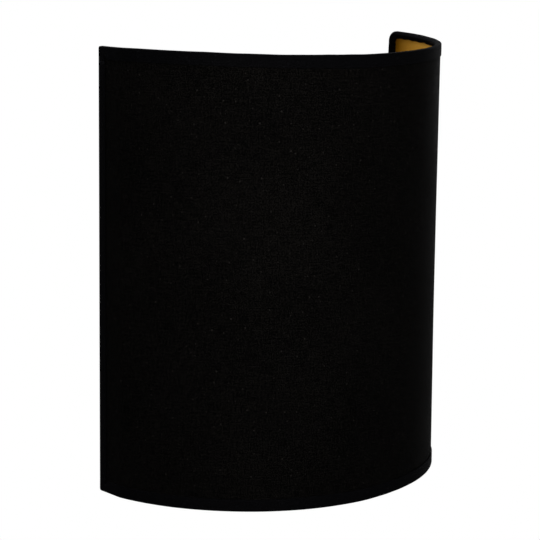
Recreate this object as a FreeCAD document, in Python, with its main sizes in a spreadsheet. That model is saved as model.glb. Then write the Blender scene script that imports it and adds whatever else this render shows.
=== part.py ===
"""Half-round fabric wall light: a shade on a wire frame, hooked over a wall plate with one lamp.

Millimetres. +Z is up and +Y points into the wall, whose face is the plane y = 0.
The origin is the middle of the two wall screws. The light is mirrored about x = 0.
"""
import FreeCAD, Part
import Sketcher
import math
import os

Vector = FreeCAD.Vector

# Driving sizes: name, millimetres, what it measures

SIZES = (
    ("shade_width", 260, "fabric face to fabric face at the wall"),
    ("shade_depth", 128.5, "wall to the front of the fabric"),
    ("shade_height", 300, "top of the top tape to the foot of the bottom tape"),
    ("shade_raise", 0, "middle of the shade above the wall screws"),
    ("return_run", 20, "straight run of the shade next to the wall"),
    ("corner_radius", 25, "bend between the straight run and the front sweep"),
    ("cover_wall", 0.5, "outer cotton"),
    ("liner_wall", 0.4, "gold laminate inside"),
    ("glue_line", 0.1, "between the cotton and the laminate"),
    ("tape_wall", 0.5, "folded trim tape"),
    ("tape_ease", 0.1, "between a tape and what it wraps"),
    ("rim_tape_outside", 8.5, "depth of the rim tape on the outer face"),
    ("rim_tape_inside", 5.5, "depth of the rim tape on the inner face"),
    ("edge_tape_outside", 7, "width of the back edge tape on the outer face"),
    ("edge_tape_inside", 5, "width of the back edge tape on the inner face"),
    ("frame_wire", 2.2, "diameter of the ring and upright wires"),
    ("wire_bend", 5, "bend at the ends of an upright, to the middle of the wire"),
    ("cross_wire", 4, "diameter of the two wires across the back"),
    ("weld_gap", 0.05, "joint line where one wire meets another"),
    ("lower_wire_rise", 53, "lower cross wire above the foot of the shade"),
    ("plate_width", 100, "wall plate"),
    ("plate_height", 150, "wall plate"),
    ("plate_depth", 20, "wall plate, front face to the wall"),
    ("plate_sheet", 1.2, "steel of the wall plate"),
    ("plate_corner", 12, "corner radius of the wall plate seen from the front"),
    ("plate_edge", 4, "rounding of the front edge of the wall plate"),
    ("clip_width", 12, "shade clip along the wire"),
    ("clip_sheet", 1, "steel of a shade clip"),
    ("clip_bend", 0.9, "outer bend of a shade clip"),
    ("clip_lip", 8, "lips of a shade clip above its floor"),
    ("clip_flare", 1.2, "how far the front lip leans out"),
    ("clip_place", 30, "middle of a shade clip from the middle of the plate"),
    ("clip_ease", 0.3, "around the cross wire in its clip"),
    ("strap_height", 22, "crossbar"),
    ("strap_sheet", 2, "steel of the crossbar"),
    ("strap_rise", 5, "ends of the crossbar off the wall, room for the screw heads"),
    ("strap_ramp", 3, "length of the joggle of the crossbar"),
    ("strap_end", 5, "crossbar beyond its machine screws"),
    ("strap_corner", 3, "corner radius of the crossbar seen from the front"),
    ("supply_hole", 12, "hole for the supply cable in the crossbar"),
    ("wall_slot_spacing", 50, "between the middles of the wall screw slots"),
    ("wall_slot_run", 12, "wall screw slot, end to end"),
    ("wall_slot_width", 5, "wall screw slot"),
    ("stud_spacing", 80, "between the two machine screws of the crossbar"),
    ("stud_size", 4, "thread of the machine screws"),
    ("thread_ease", 0.05, "radial, a screw in its own thread"),
    ("hole_ease", 0.25, "radial, a screw in a plain hole"),
    ("stud_head", 7, "head of a machine screw"),
    ("stud_head_rise", 2.6, "head of a machine screw"),
    ("head_round", 1, "rounded rim of a pan head"),
    ("nut_flats", 7, "across the flats of a cap nut"),
    ("nut_rise", 3.2, "hexagon of a cap nut"),
    ("nut_dome", 3.3, "radius of the dome of a cap nut"),
    ("stud_reach", 4, "machine screw beyond the wall plate, inside its cap nut"),
    ("earth_place", 12.8, "earth screw from the middle of the crossbar"),
    ("earth_washer", 8, "cupped washer of the earth screw"),
    ("washer_sheet", 0.8, "cupped washer of the earth screw"),
    ("block_width", 21, "terminal block"),
    ("block_height", 17, "terminal block"),
    ("block_depth", 12.5, "terminal block"),
    ("block_drop", 19, "top of the terminal block below the wall screws"),
    ("pole_spacing", 10, "between the poles of the terminal block"),
    ("pole_turret", 6.4, "screw turret of the terminal block"),
    ("turret_rise", 2, "screw turret above the body of the terminal block"),
    ("pole_well", 6.2, "depth of the hole for a clamping screw"),
    ("lead_way", 5.6, "depth of the way in for a lead"),
    ("block_round", 1, "rounded corners of the terminal block"),
    ("pole_screw", 3.2, "clamping screw of the terminal block"),
    ("pole_ease", 0.1, "radial, a clamping screw or a lead in the terminal block"),
    ("screw_sink", 0.5, "clamping screw below the rim of its turret"),
    ("screw_slot", 0.6, "driver slot of a clamping screw"),
    ("screw_slot_depth", 1, "driver slot of a clamping screw"),
    ("arm_width", 26, "lamp arm, a channel open below"),
    ("arm_height", 16, "lamp arm"),
    ("arm_sheet", 1.2, "steel of the lamp arm"),
    ("arm_bend", 1.9, "outer bend between the top and the sides of the lamp arm"),
    ("arm_rise", 19, "top of the lamp arm above the foot of the wall plate"),
    ("arm_ear", 11, "ear of the lamp arm beside the channel"),
    ("arm_ear_height", 12, "ear of the lamp arm"),
    ("ear_corner", 3, "corner radius of an ear"),
    ("ear_screw", 3, "thread of the lamp arm's screws"),
    ("ear_screw_head", 5.6, "head of the lamp arm's screws"),
    ("ear_screw_rise", 2, "head of the lamp arm's screws"),
    ("ear_screw_run", 5, "shank of the lamp arm's screws behind the ear"),
    ("lead_hole", 10, "hole for the leads in the wall plate"),
    ("bush_lip", 1.4, "lip of the rubber bush around that hole"),
    ("bush_bore", 7, "hole through the rubber bush"),
    ("lamp_reach", 62, "lamp axis from the wall"),
    ("lead_size", 2.2, "insulated lead"),
    ("lead_bend", 4.5, "bend radius of a lead"),
    ("lead_pair", 3, "between the two leads"),
    ("nipple_size", 10, "hollow threaded nipple"),
    ("nipple_bore", 7, "hollow threaded nipple"),
    ("nipple_below", 6, "nipple below the top of the arm"),
    ("nipple_above", 5, "nipple above the top of the arm"),
    ("lock_nut_flats", 14, "nut on the nipple"),
    ("lock_nut_rise", 3, "nut on the nipple"),
    ("holder_size", 40, "lampholder, outer diameter"),
    ("holder_wall", 2, "lampholder"),
    ("holder_round", 11, "rounding at the foot of the lampholder"),
    ("holder_split", 22, "joint between cap and skirt above the arm"),
    ("holder_rise", 56, "rim of the lampholder above the arm"),
    ("holder_boss", 8, "radius of the threaded boss in the cap"),
    ("boss_rise", 6, "threaded boss in the cap"),
    ("grip_rise", 10, "wider grip band at the foot of the skirt"),
    ("grip_flutes", 20, "number of finger flutes around the grip band"),
    ("flute_radius", 1.5, "finger flute"),
    ("flute_bite", 0.7, "how deep a finger flute cuts"),
    ("skirt_size", 37, "skirt of the lampholder above the grip band"),
    ("insert_foot", 20, "foot of the contact carrier above the arm"),
    ("insert_top", 31, "top of the contact carrier above the arm"),
    ("insert_well", 6, "depth of the well for the lamp's tip"),
    ("insert_well_radius", 13.2, "well for the lamp's tip"),
    ("insert_ease", 0.2, "radial, contact carrier in the lampholder"),
    ("sleeve_bore", 27, "threaded sleeve, inside"),
    ("sleeve_wall", 0.5, "threaded sleeve"),
    ("sleeve_rise", 22, "threaded sleeve"),
    ("contact_rise", 4, "spring contact above the floor of the well"),
    ("contact_strip", 0.5, "spring contact"),
    ("contact_width", 6, "spring contact"),
    ("contact_margin", 3, "end of the spring contact from the side of the well"),
    ("contact_ramp", 3.2, "length of the sloping part of the spring contact"),
    ("contact_knee", 0.4, "bends of its upper face behind those of its lower face"),
    ("lamp_cap", 26.4, "screw cap of the lamp, diameter"),
    ("lamp_cap_foot", 8, "foot of the screw cap above the lamp's tip"),
    ("lamp_cap_top", 26, "top of the screw cap above the lamp's tip"),
    ("lamp_cap_wall", 0.4, "screw cap"),
    ("lamp_cap_bevel", 1.5, "sloping foot of the screw cap"),
    ("lamp_tip", 9.2, "solder tip, diameter"),
    ("lamp_tip_rise", 1.6, "solder tip"),
    ("tip_bevel", 0.6, "bevel of the solder tip"),
    ("lamp_cone", 23, "black glass insulator, diameter at the screw cap"),
    ("cone_step", 1, "foot of the insulator beyond the solder tip"),
    ("cone_foot", 0.6, "straight foot of the insulator"),
    ("cone_rim", 1, "straight rim of the insulator under the screw cap"),
    ("lamp_length", 105, "whole lamp"),
    ("lamp_size", 60, "glass globe, diameter"),
    ("lamp_neck", 26, "glass at the screw cap, diameter"),
    ("glass_wall", 0.8, "glass globe"),
    ("stem_size", 9, "glass stem that carries the filaments, diameter"),
    ("stem_foot", 1, "flared foot of the stem below the glass"),
    ("stem_taper", 1, "how much thinner the stem is at its top, radial"),
    ("filament_size", 1.8, "one glowing rod, diameter"),
    ("filament_run", 34, "one glowing rod, length"),
    ("filament_count", 4, "glowing rods around the stem"),
    ("filament_circle", 9, "radius on which the rods stand"),
    ("filament_base", 55, "foot of the rods above the lamp's tip"),
    ("spider_sheet", 0.8, "disc that carries the rods"),
)

doc = FreeCAD.newDocument("WallLight")
sheet = doc.addObject("Spreadsheet::Sheet", "Sizes")
for row, (alias, number, meaning) in enumerate(SIZES, start=1):
    sheet.set("A%d" % row, meaning)
    sheet.set("B%d" % row, str(number))
    sheet.setAlias("B%d" % row, alias)
doc.recompute()

sub_parts = []


def value(expression):
    """Number that an expression over the sheet gives; plain numbers pass through."""
    if isinstance(expression, (int, float)):
        return float(expression)
    return float(sheet.evalExpression(expression))


# Bodies and sketches

def new_body(label, at=("0", "0", "0")):
    """One piece, placed by three expressions."""
    body = doc.addObject("PartDesign::Body", label)
    body.Label = label
    for axis, expression in zip("xyz", at):
        body.setExpression(".Placement.Base." + axis, expression)
    sub_parts.append(body)
    return body


def new_sketch(body, role, name, shift=None):
    """Sketch on an origin plane of its own body, moved along the plane's normal by an expression."""
    sketch = body.newObject("Sketcher::SketchObject", body.Label + "_" + name)
    plane = next(f for f in body.Origin.OriginFeatures if f.Role == role)
    sketch.AttachmentSupport = [(plane, "")]
    sketch.MapMode = "FlatFace"
    if shift is not None:
        sketch.setExpression(".AttachmentOffset.Base.z", shift)
    return sketch


def hold(sketch, kind, where, expression):
    """Dimension that follows an expression."""
    index = sketch.addConstraint(Sketcher.Constraint(kind, *where, value(expression)))
    sketch.setExpression("Constraints[%d]" % index, str(expression))


def hold_point(sketch, geometry, end, x, y, which="xy"):
    """Ties one end of a curve to coordinates; which names the ones that are tied."""
    if "x" in which:
        hold(sketch, "DistanceX", (-1, 1, geometry, end), x)
    if "y" in which:
        hold(sketch, "DistanceY", (-1, 1, geometry, end), y)


def draw(sketch, corners, arcs=None, closed=True):
    """Straight runs and arcs from corner to corner.

    A corner is (x, y) or (x, y, which): "x" or "y" ties that coordinate alone, because an arc
    with a fixed centre ends there, and "tangent" ties neither and lets both curves blend.
    An arc, by the number of the corner that it leaves, is (centre x, centre y, turn, radius):
    turn 1 is anticlockwise and -1 clockwise, a radius of None follows from the corner, and a
    centre of None is left to the tangents. Returns (curve, first end, last end) for each run.
    """
    arcs = arcs or {}
    corners = [corner if len(corner) == 3 else corner + ("xy",) for corner in corners]
    points = [Vector(value(x), value(y), 0) for x, y, which in corners]
    runs = []
    for i in range(len(corners) if closed else len(corners) - 1):
        start, end = points[i], points[(i + 1) % len(points)]
        if i not in arcs:
            runs.append((sketch.addGeometry(Part.LineSegment(start, end), False), 1, 2))
            continue
        centre_x, centre_y, turn, radius = arcs[i]
        if centre_x is None:
            centre = centre_y
        else:
            centre = Vector(value(centre_x), value(centre_y), 0)
        low, high = (start, end) if turn > 0 else (end, start)
        first = math.atan2(low.y - centre.y, low.x - centre.x)
        last = math.atan2(high.y - centre.y, high.x - centre.x)
        if last <= first:
            last += 2 * math.pi
        circle = Part.Circle(centre, Vector(0, 0, 1), (start - centre).Length)
        curve = sketch.addGeometry(Part.ArcOfCircle(circle, first, last), False)
        runs.append((curve, 1, 2) if turn > 0 else (curve, 2, 1))
    for i, (x, y, which) in enumerate(corners):
        joined = closed or 0 < i < len(corners) - 1
        before, after = runs[i - 1], runs[i % len(runs)]
        if joined:
            kind = "Tangent" if which == "tangent" else "Coincident"
            ends = (before[0], before[2], after[0], after[1])
            sketch.addConstraint(Sketcher.Constraint(kind, *ends))
        if which == "tangent":
            continue
        if i == len(runs):
            hold_point(sketch, before[0], before[2], x, y, which)
        else:
            hold_point(sketch, after[0], after[1], x, y, which)
    for i, (centre_x, centre_y, turn, radius) in arcs.items():
        if centre_x is not None:
            hold_point(sketch, runs[i][0], 3, centre_x, centre_y)
        if radius is not None:
            hold(sketch, "Radius", (runs[i][0],), radius)
    return runs


def circle(sketch, x, y, radius):
    """Full circle at a tied centre."""
    spot = Vector(value(x), value(y), 0)
    curve = sketch.addGeometry(Part.Circle(spot, Vector(0, 0, 1), value(radius)), False)
    hold_point(sketch, curve, 3, x, y)
    hold(sketch, "Radius", (curve,), radius)


def rectangle(sketch, left, right, low, high):
    """Upright rectangle."""
    draw(sketch, [(left, low), (right, low), (right, high), (left, high)])


def rounded_rectangle(sketch, half_width, half_height, radius):
    """Rectangle about the sketch's origin with rounded corners."""
    w, high, r = "(%s)" % half_width, "(%s)" % half_height, "(%s)" % radius
    corners = [
        ("-%s + %s" % (w, r), "-" + high, "x"),
        ("%s - %s" % (w, r), "-" + high),
        (w, "-%s + %s" % (high, r), "y"),
        (w, "%s - %s" % (high, r)),
        ("%s - %s" % (w, r), high, "x"),
        ("-%s + %s" % (w, r), high),
        ("-" + w, "%s - %s" % (high, r), "y"),
        ("-" + w, "-%s + %s" % (high, r)),
    ]
    arcs = {
        1: ("%s - %s" % (w, r), "-%s + %s" % (high, r), 1, None),
        3: ("%s - %s" % (w, r), "%s - %s" % (high, r), 1, None),
        5: ("-%s + %s" % (w, r), "%s - %s" % (high, r), 1, None),
        7: ("-%s + %s" % (w, r), "-%s + %s" % (high, r), 1, None),
    }
    draw(sketch, corners, arcs)


def slot(sketch, x, y, run, width):
    """Slot along the sketch's x with round ends."""
    reach, r = "(%s - %s) / 2" % (run, width), "%s / 2" % width
    corners = [
        ("%s - %s" % (x, reach), "%s - %s" % (y, r), "x"),
        ("%s + %s" % (x, reach), "%s - %s" % (y, r)),
        ("%s + %s" % (x, reach), "%s + %s" % (y, r), "x"),
        ("%s - %s" % (x, reach), "%s + %s" % (y, r)),
    ]
    arcs = {
        1: ("%s + %s" % (x, reach), y, 1, None),
        3: ("%s - %s" % (x, reach), y, 1, None),
    }
    draw(sketch, corners, arcs)


# Features

def finish_feature(body, feature, name):
    """Makes a feature the body's result."""
    feature.Label = body.Label + "_" + name
    body.Tip = feature
    doc.recompute()
    return feature


def pad(body, sketch, length, both_ways=False, reverse=False):
    """Sketch pushed out along its normal."""
    feature = body.newObject("PartDesign::Pad", sketch.Name + "_pad")
    feature.Profile = sketch
    feature.setExpression("Length", length)
    feature.Reversed = reverse
    if both_ways:
        feature.SideType = "Symmetric"
    return finish_feature(body, feature, sketch.Name + "_pad")


def pocket(body, sketch, length=None, both_ways=False, reverse=False):
    """Sketch cut away along its normal, or right through both ways; it has to remove something."""
    before = body.Shape.Volume
    feature = body.newObject("PartDesign::Pocket", sketch.Name + "_pocket")
    feature.Profile = sketch
    if length is None:
        feature.Type = "ThroughAll"
        feature.SideType = "Symmetric"
    else:
        feature.setExpression("Length", length)
        feature.Reversed = reverse
        if both_ways:
            feature.SideType = "Symmetric"
    finish_feature(body, feature, sketch.Name + "_pocket")
    if body.Shape.Volume >= before:
        raise RuntimeError(feature.Name + " cuts nothing")
    return feature


def revolve(body, sketch):
    """Sketch turned about its own vertical axis."""
    feature = body.newObject("PartDesign::Revolution", sketch.Name + "_turn")
    feature.Profile = sketch
    feature.ReferenceAxis = (sketch, ["V_Axis"])
    feature.Angle = 360
    return finish_feature(body, feature, sketch.Name + "_turn")


def turned(label, corners, arcs=None, at=("0", "0", "0")):
    """Round piece about its own z axis from a half section of (radius, height) corners."""
    body = new_body(label, at)
    section = new_sketch(body, "XZ_Plane", "section")
    draw(section, corners, arcs)
    revolve(body, section)
    return body


def fillet(body, base, radius, chosen):
    """Rounds the edges of a feature that pass a test."""
    names = ["Edge%d" % (i + 1) for i, edge in enumerate(base.Shape.Edges) if chosen(edge)]
    feature = body.newObject("PartDesign::Fillet", base.Name + "_round")
    feature.Base = (base, names)
    feature.setExpression("Radius", radius)
    return finish_feature(body, feature, "round")


def sweep(body, profile, spine):
    """Profile carried along a spine in plan."""
    feature = body.newObject("PartDesign::AdditivePipe", profile.Name + "_sweep")
    feature.Profile = profile
    feature.Spine = spine
    return finish_feature(body, feature, profile.Name + "_sweep")


def edges_at(axis, place):
    """Test for edges that lie wholly in a plane across an axis."""
    def chosen(edge):
        box = edge.BoundBox
        low, high = getattr(box, axis.upper() + "Min"), getattr(box, axis.upper() + "Max")
        return abs(low - place) < 1e-4 and abs(high - place) < 1e-4
    return chosen


def edges_along(axis):
    """Test for straight edges that run along an axis."""
    wanted = {"x": Vector(1, 0, 0), "y": Vector(0, 1, 0), "z": Vector(0, 0, 1)}[axis]

    def chosen(edge):
        if not isinstance(edge.Curve, Part.Line):
            return False
        return edge.Curve.Direction.cross(wanted).Length < 1e-6
    return chosen


# Shade: a half-round wall of cotton on laminate, bound with tape over a wire frame

HALF = "Sizes.shade_width / 2"
TOP = "(Sizes.shade_raise + Sizes.shade_height / 2)"
FOOT = "(Sizes.shade_raise - Sizes.shade_height / 2)"
TAPE = "(Sizes.tape_wall + Sizes.tape_ease)"
LAMINATE = "(Sizes.cover_wall + Sizes.glue_line + Sizes.liner_wall)"
WIRE_R = "(Sizes.frame_wire / 2)"
CROSS_R = "(Sizes.cross_wire / 2)"
# Frame wire's centre, inward from the fabric's face and back from the shade's edge
WIRE_IN = "(%s + Sizes.tape_ease + %s)" % (LAMINATE, WIRE_R)
WIRE_BACK = "(%s + %s)" % (TAPE, WIRE_R)
# Cross wires lie in front of the uprights; the upper one rests in the clips on the wall plate
CROSS_OUT = "(%s + %s + Sizes.weld_gap + %s)" % (WIRE_BACK, WIRE_R, CROSS_R)
UPPER_WIRE = "(Sizes.plate_height / 2 + Sizes.clip_sheet + Sizes.clip_ease + %s)" % CROSS_R
LOWER_WIRE = "(%s + Sizes.lower_wire_rise)" % FOOT


def plan_run(inset, back):
    """Corners and arcs of the plan curve, from the left wall end round the front to the right."""
    inset_size, corner = value(inset), value("Sizes.corner_radius")
    side = value("Sizes.return_run")
    across = value(HALF) - corner
    deep = value("Sizes.shade_depth") - inset_size
    bend = corner - inset_size
    sweep_radius = (across ** 2 + (deep - side) ** 2 - bend ** 2) / (2 * (deep - side - bend))
    middle = Vector(0, sweep_radius - deep, 0)
    angle = math.atan2(across, side + middle.y)
    joint_x = sweep_radius * math.sin(angle)
    joint_y = middle.y - sweep_radius * math.cos(angle)
    edge = "(%s - %s)" % (HALF, inset)
    centre_x = "(%s - Sizes.corner_radius)" % HALF
    corners = [
        ("-" + edge, "-" + back),
        ("-" + edge, "-Sizes.return_run"),
        (-joint_x, joint_y, "tangent"),
        (joint_x, joint_y, "tangent"),
        (edge, "-Sizes.return_run"),
        (edge, "-" + back),
    ]
    arcs = [
        ("-" + centre_x, "-Sizes.return_run", 1, None),
        (None, middle, 1, None),
        (centre_x, "-Sizes.return_run", 1, None),
    ]
    return corners, arcs


def hold_front(sketch, curve, inset):
    """Ties the middle of the front sweep to the shade's depth."""
    deep = "-(Sizes.shade_depth - %s)" % inset
    spot = sketch.addGeometry(Part.Point(Vector(0, value(deep), 0)), True)
    hold_point(sketch, spot, 1, "0", deep)
    sketch.addConstraint(Sketcher.Constraint("PointOnObject", spot, 1, curve))


def plan_spine(body, inset, back, level):
    """Open plan curve at a height."""
    sketch = new_sketch(body, "XY_Plane", "plan", level)
    corners, arcs = plan_run(inset, back)
    runs = draw(sketch, corners, dict(enumerate(arcs, start=1)), closed=False)
    hold_front(sketch, runs[2][0], inset)
    return sketch


def shade_wall(label, outer, thickness):
    """Layer of the shade's wall from an inset outer face inwards, open at the wall."""
    body = new_body(label)
    sketch = new_sketch(body, "XY_Plane", "plan", "%s + %s" % (FOOT, TAPE))
    inner = "(%s + %s)" % (outer, thickness)
    front, front_arcs = plan_run(outer, TAPE)
    rear, rear_arcs = plan_run(inner, TAPE)
    arcs = dict(enumerate(front_arcs, start=1))
    for i, (x, y, turn, radius) in enumerate(reversed(rear_arcs), start=7):
        arcs[i] = (x, y, -turn, radius)
    runs = draw(sketch, front + rear[::-1], arcs)
    hold_front(sketch, runs[2][0], outer)
    hold_front(sketch, runs[8][0], inner)
    pad(body, sketch, "Sizes.shade_height - 2 * %s" % TAPE)


def fold(sketch, outside, inside, place, mirrored):
    """Section of a tape folded over an edge: down the outer face, round the wire, up the liner.

    place turns (inward from the fabric's face, back from the edge) into the sketch's x and y.
    """
    skin, ease, wrap = "Sizes.tape_wall", "Sizes.tape_ease", "(%s + Sizes.tape_ease)" % WIRE_R
    over = "(%s + %s)" % (wrap, skin)
    wire_in, wire_back = WIRE_IN, WIRE_BACK
    turn = -1 if mirrored else 1
    corners = [
        ("-" + TAPE, outside),
        ("-" + TAPE, TAPE),
        ("0", "0", "in"),
        (wire_in, "0"),
        (wire_in, "%s + %s" % (wire_back, over), "in"),
        ("%s + %s" % (LAMINATE, TAPE), "%s + %s + %s" % (wire_back, over, ease)),
        ("%s + %s" % (LAMINATE, TAPE), inside),
        ("%s + %s" % (LAMINATE, ease), inside),
        ("%s + %s" % (LAMINATE, ease), "%s + %s" % (wire_back, wrap)),
        (wire_in, "%s + %s" % (wire_back, wrap)),
        (wire_in, skin, "in"),
        ("-" + ease, skin),
        ("-" + ease, outside),
    ]
    arcs = {
        1: ("0", TAPE, turn, None),
        3: (wire_in, wire_back, turn, None),
        9: (wire_in, wire_back, -turn, None),
    }
    swap = {"in": place("in", None)}
    placed = [place(c[0], c[1]) + ((swap[c[2]],) if len(c) == 3 else ()) for c in corners]
    placed_arcs = {i: place(a[0], a[1]) + (a[2], a[3]) for i, a in arcs.items()}
    draw(sketch, placed, placed_arcs)


def rim_tape(label, rim, inwards):
    """Tape round the top or bottom edge, swept along the plan curve and notched round the uprights."""
    body = new_body(label)
    spine = plan_spine(body, "0", TAPE, rim)
    profile = new_sketch(body, "XZ_Plane", "fold", TAPE)

    def place(inward, back):
        if back is None:
            return "x"
        return "-%s + %s" % (HALF, inward), "%s %s (%s)" % (rim, inwards, back)

    fold(profile, "Sizes.rim_tape_outside", "Sizes.rim_tape_inside", place, inwards == "-")
    sweep(body, profile, spine)
    wrap = "(%s + Sizes.tape_ease)" % WIRE_R
    near = "-(%s + %s)" % (WIRE_BACK, wrap)
    far = "-(%s + Sizes.wire_bend + Sizes.tape_ease)" % WIRE_BACK

    def level(below):
        return "%s %s (%s + %s)" % (rim, inwards, WIRE_BACK, below)

    notch = new_sketch(body, "YZ_Plane", "notch")
    draw(notch, [
        (far, level("0")),
        ("0", level("0")),
        ("0", level("Sizes.rim_tape_outside")),
        (near, level("Sizes.rim_tape_outside")),
        (near, level("Sizes.wire_bend")),
        (far, level(wrap)),
    ])
    pocket(body, notch, "2 * (%s - %s - Sizes.tape_ease)" % (HALF, LAMINATE), both_ways=True)


def rim_wire(label, rim, inwards):
    """Half ring of wire inside a rim tape, from one upright to the other."""
    body = new_body(label)
    level = "%s %s %s" % (rim, inwards, WIRE_BACK)
    end = "(%s + Sizes.wire_bend + Sizes.weld_gap)" % WIRE_BACK
    spine = plan_spine(body, WIRE_IN, end, level)
    section = new_sketch(body, "XZ_Plane", "section", end)
    circle(section, "-(%s - %s)" % (HALF, WIRE_IN), level, WIRE_R)
    sweep(body, section, spine)


def edge_tape(label, side):
    """Tape down one back edge between the rim tapes, notched where the cross wires are welded."""
    body = new_body(label)
    base = "%s + Sizes.rim_tape_outside + Sizes.tape_ease" % FOOT
    profile = new_sketch(body, "XY_Plane", "fold", base)

    def place(inward, back):
        if back is None:
            return "x"
        if side == "left":
            return "-%s + %s" % (HALF, inward), "-(%s)" % back
        return "%s - (%s)" % (HALF, inward), "-(%s)" % back

    fold(profile, "Sizes.edge_tape_outside", "Sizes.edge_tape_inside", place, side == "left")
    pad(body, profile, "Sizes.shade_height - 2 * (Sizes.rim_tape_outside + Sizes.tape_ease)")
    notch = new_sketch(body, "YZ_Plane", "notch")
    for level in (UPPER_WIRE, LOWER_WIRE):
        circle(notch, "-" + CROSS_OUT, level, "%s + Sizes.tape_ease" % CROSS_R)
    depth = "%s - %s - Sizes.tape_ease" % (HALF, LAMINATE)
    pocket(body, notch, depth, reverse=side == "right")


def upright(label, side):
    """Wire inside a back edge tape, its ends bent forward and butt-welded to the rim wires."""
    body = new_body(label)
    across = "%s(%s - %s)" % (side, HALF, WIRE_IN)
    end = "(%s + Sizes.wire_bend)" % WIRE_BACK
    top = "(%s - %s)" % (TOP, WIRE_BACK)
    foot = "(%s + %s)" % (FOOT, WIRE_BACK)
    path = new_sketch(body, "YZ_Plane", "path", across)
    corners = [
        ("-" + end, top),
        ("-" + WIRE_BACK, top + " - Sizes.wire_bend", "y"),
        ("-" + WIRE_BACK, foot + " + Sizes.wire_bend", "y"),
        ("-" + end, foot),
    ]
    arcs = {
        0: ("-" + end, top + " - Sizes.wire_bend", -1, None),
        2: ("-" + end, foot + " + Sizes.wire_bend", -1, None),
    }
    draw(path, corners, arcs, closed=False)
    section = new_sketch(body, "XZ_Plane", "section", end)
    circle(section, across, top, WIRE_R)
    sweep(body, section, path)


def cross_wire(label, level):
    """Straight wire across the back, welded to the front of both uprights."""
    body = new_body(label)
    section = new_sketch(body, "YZ_Plane", "section")
    circle(section, "-" + CROSS_OUT, level, CROSS_R)
    pad(body, section, "2 * (%s - %s)" % (HALF, WIRE_IN), both_ways=True)


shade_wall("shade_cover", "0", "Sizes.cover_wall")
shade_wall("shade_liner", "(Sizes.cover_wall + Sizes.glue_line)", "Sizes.liner_wall")
rim_tape("top_trim", TOP, "-")
rim_tape("bottom_trim", FOOT, "+")
edge_tape("left_edge_trim", "left")
edge_tape("right_edge_trim", "right")
rim_wire("top_ring", TOP, "-")
rim_wire("bottom_ring", FOOT, "+")
upright("left_upright", "-")
upright("right_upright", "")
cross_wire("upper_cross_wire", UPPER_WIRE)
cross_wire("lower_cross_wire", LOWER_WIRE)


# Wall plate: a pressed tray that hides the crossbar and the terminals

PLATE_FRONT = "Sizes.plate_depth"
ARM_TOP = "(Sizes.arm_rise - Sizes.plate_height / 2)"
LEAD_LEVEL = "(%s - Sizes.arm_height / 2)" % ARM_TOP
STUD_X = "Sizes.stud_spacing / 2"
STUD_R = "Sizes.stud_size / 2"
EAR_X = "(Sizes.arm_width / 2 + Sizes.arm_ear / 2)"


def wall_plate():
    body = new_body("back_plate")
    outline = new_sketch(body, "XZ_Plane", "outline")
    rounded_rectangle(outline, "Sizes.plate_width / 2", "Sizes.plate_height / 2",
                      "Sizes.plate_corner")
    block = pad(body, outline, PLATE_FRONT)
    fillet(body, block, "Sizes.plate_edge", edges_at("y", -value(PLATE_FRONT)))
    inside = new_sketch(body, "XZ_Plane", "inside")
    rounded_rectangle(inside, "Sizes.plate_width / 2 - Sizes.plate_sheet",
                      "Sizes.plate_height / 2 - Sizes.plate_sheet",
                      "Sizes.plate_corner - Sizes.plate_sheet")
    hollow = pocket(body, inside, "Sizes.plate_depth - Sizes.plate_sheet", reverse=True)
    floor = value("Sizes.plate_sheet - Sizes.plate_depth")
    fillet(body, hollow, "Sizes.plate_edge - Sizes.plate_sheet", edges_at("y", floor))
    holes = new_sketch(body, "XZ_Plane", "holes")
    for side in ("-", ""):
        circle(holes, side + STUD_X, "0", "%s + Sizes.hole_ease" % STUD_R)
        circle(holes, side + EAR_X, LEAD_LEVEL, "Sizes.ear_screw / 2 + Sizes.thread_ease")
    circle(holes, "0", LEAD_LEVEL, "Sizes.lead_hole / 2")
    pocket(body, holes)


def shade_clip(label, side):
    """Upright U of sheet steel, spot-welded to the top of the wall plate."""
    body = new_body(label, (side + "Sizes.clip_place", "-" + CROSS_OUT, "Sizes.plate_height / 2"))
    profile = new_sketch(body, "YZ_Plane", "profile")
    gap = "(%s + Sizes.clip_ease)" % CROSS_R
    wide = "(%s + Sizes.clip_sheet)" % gap
    lip = "(Sizes.clip_sheet + Sizes.clip_lip)"
    knee = "(Sizes.clip_sheet + Sizes.clip_ease + Sizes.cross_wire)"
    draw(profile, [
        ("-" + wide, "0"),
        (wide, "0"),
        (wide, lip),
        (gap, lip),
        (gap, "Sizes.clip_sheet"),
        ("-" + gap, "Sizes.clip_sheet"),
        ("-" + gap, knee),
        ("-%s - Sizes.clip_flare" % gap, lip),
        ("-%s - Sizes.clip_flare" % wide, lip),
        ("-" + wide, knee),
    ])
    strip = pad(body, profile, "Sizes.clip_width", both_ways=True)
    base_edges = edges_at("z", 0)
    fillet(body, strip, "Sizes.clip_bend",
           lambda edge: edges_along("x")(edge) and base_edges(edge))


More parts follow.
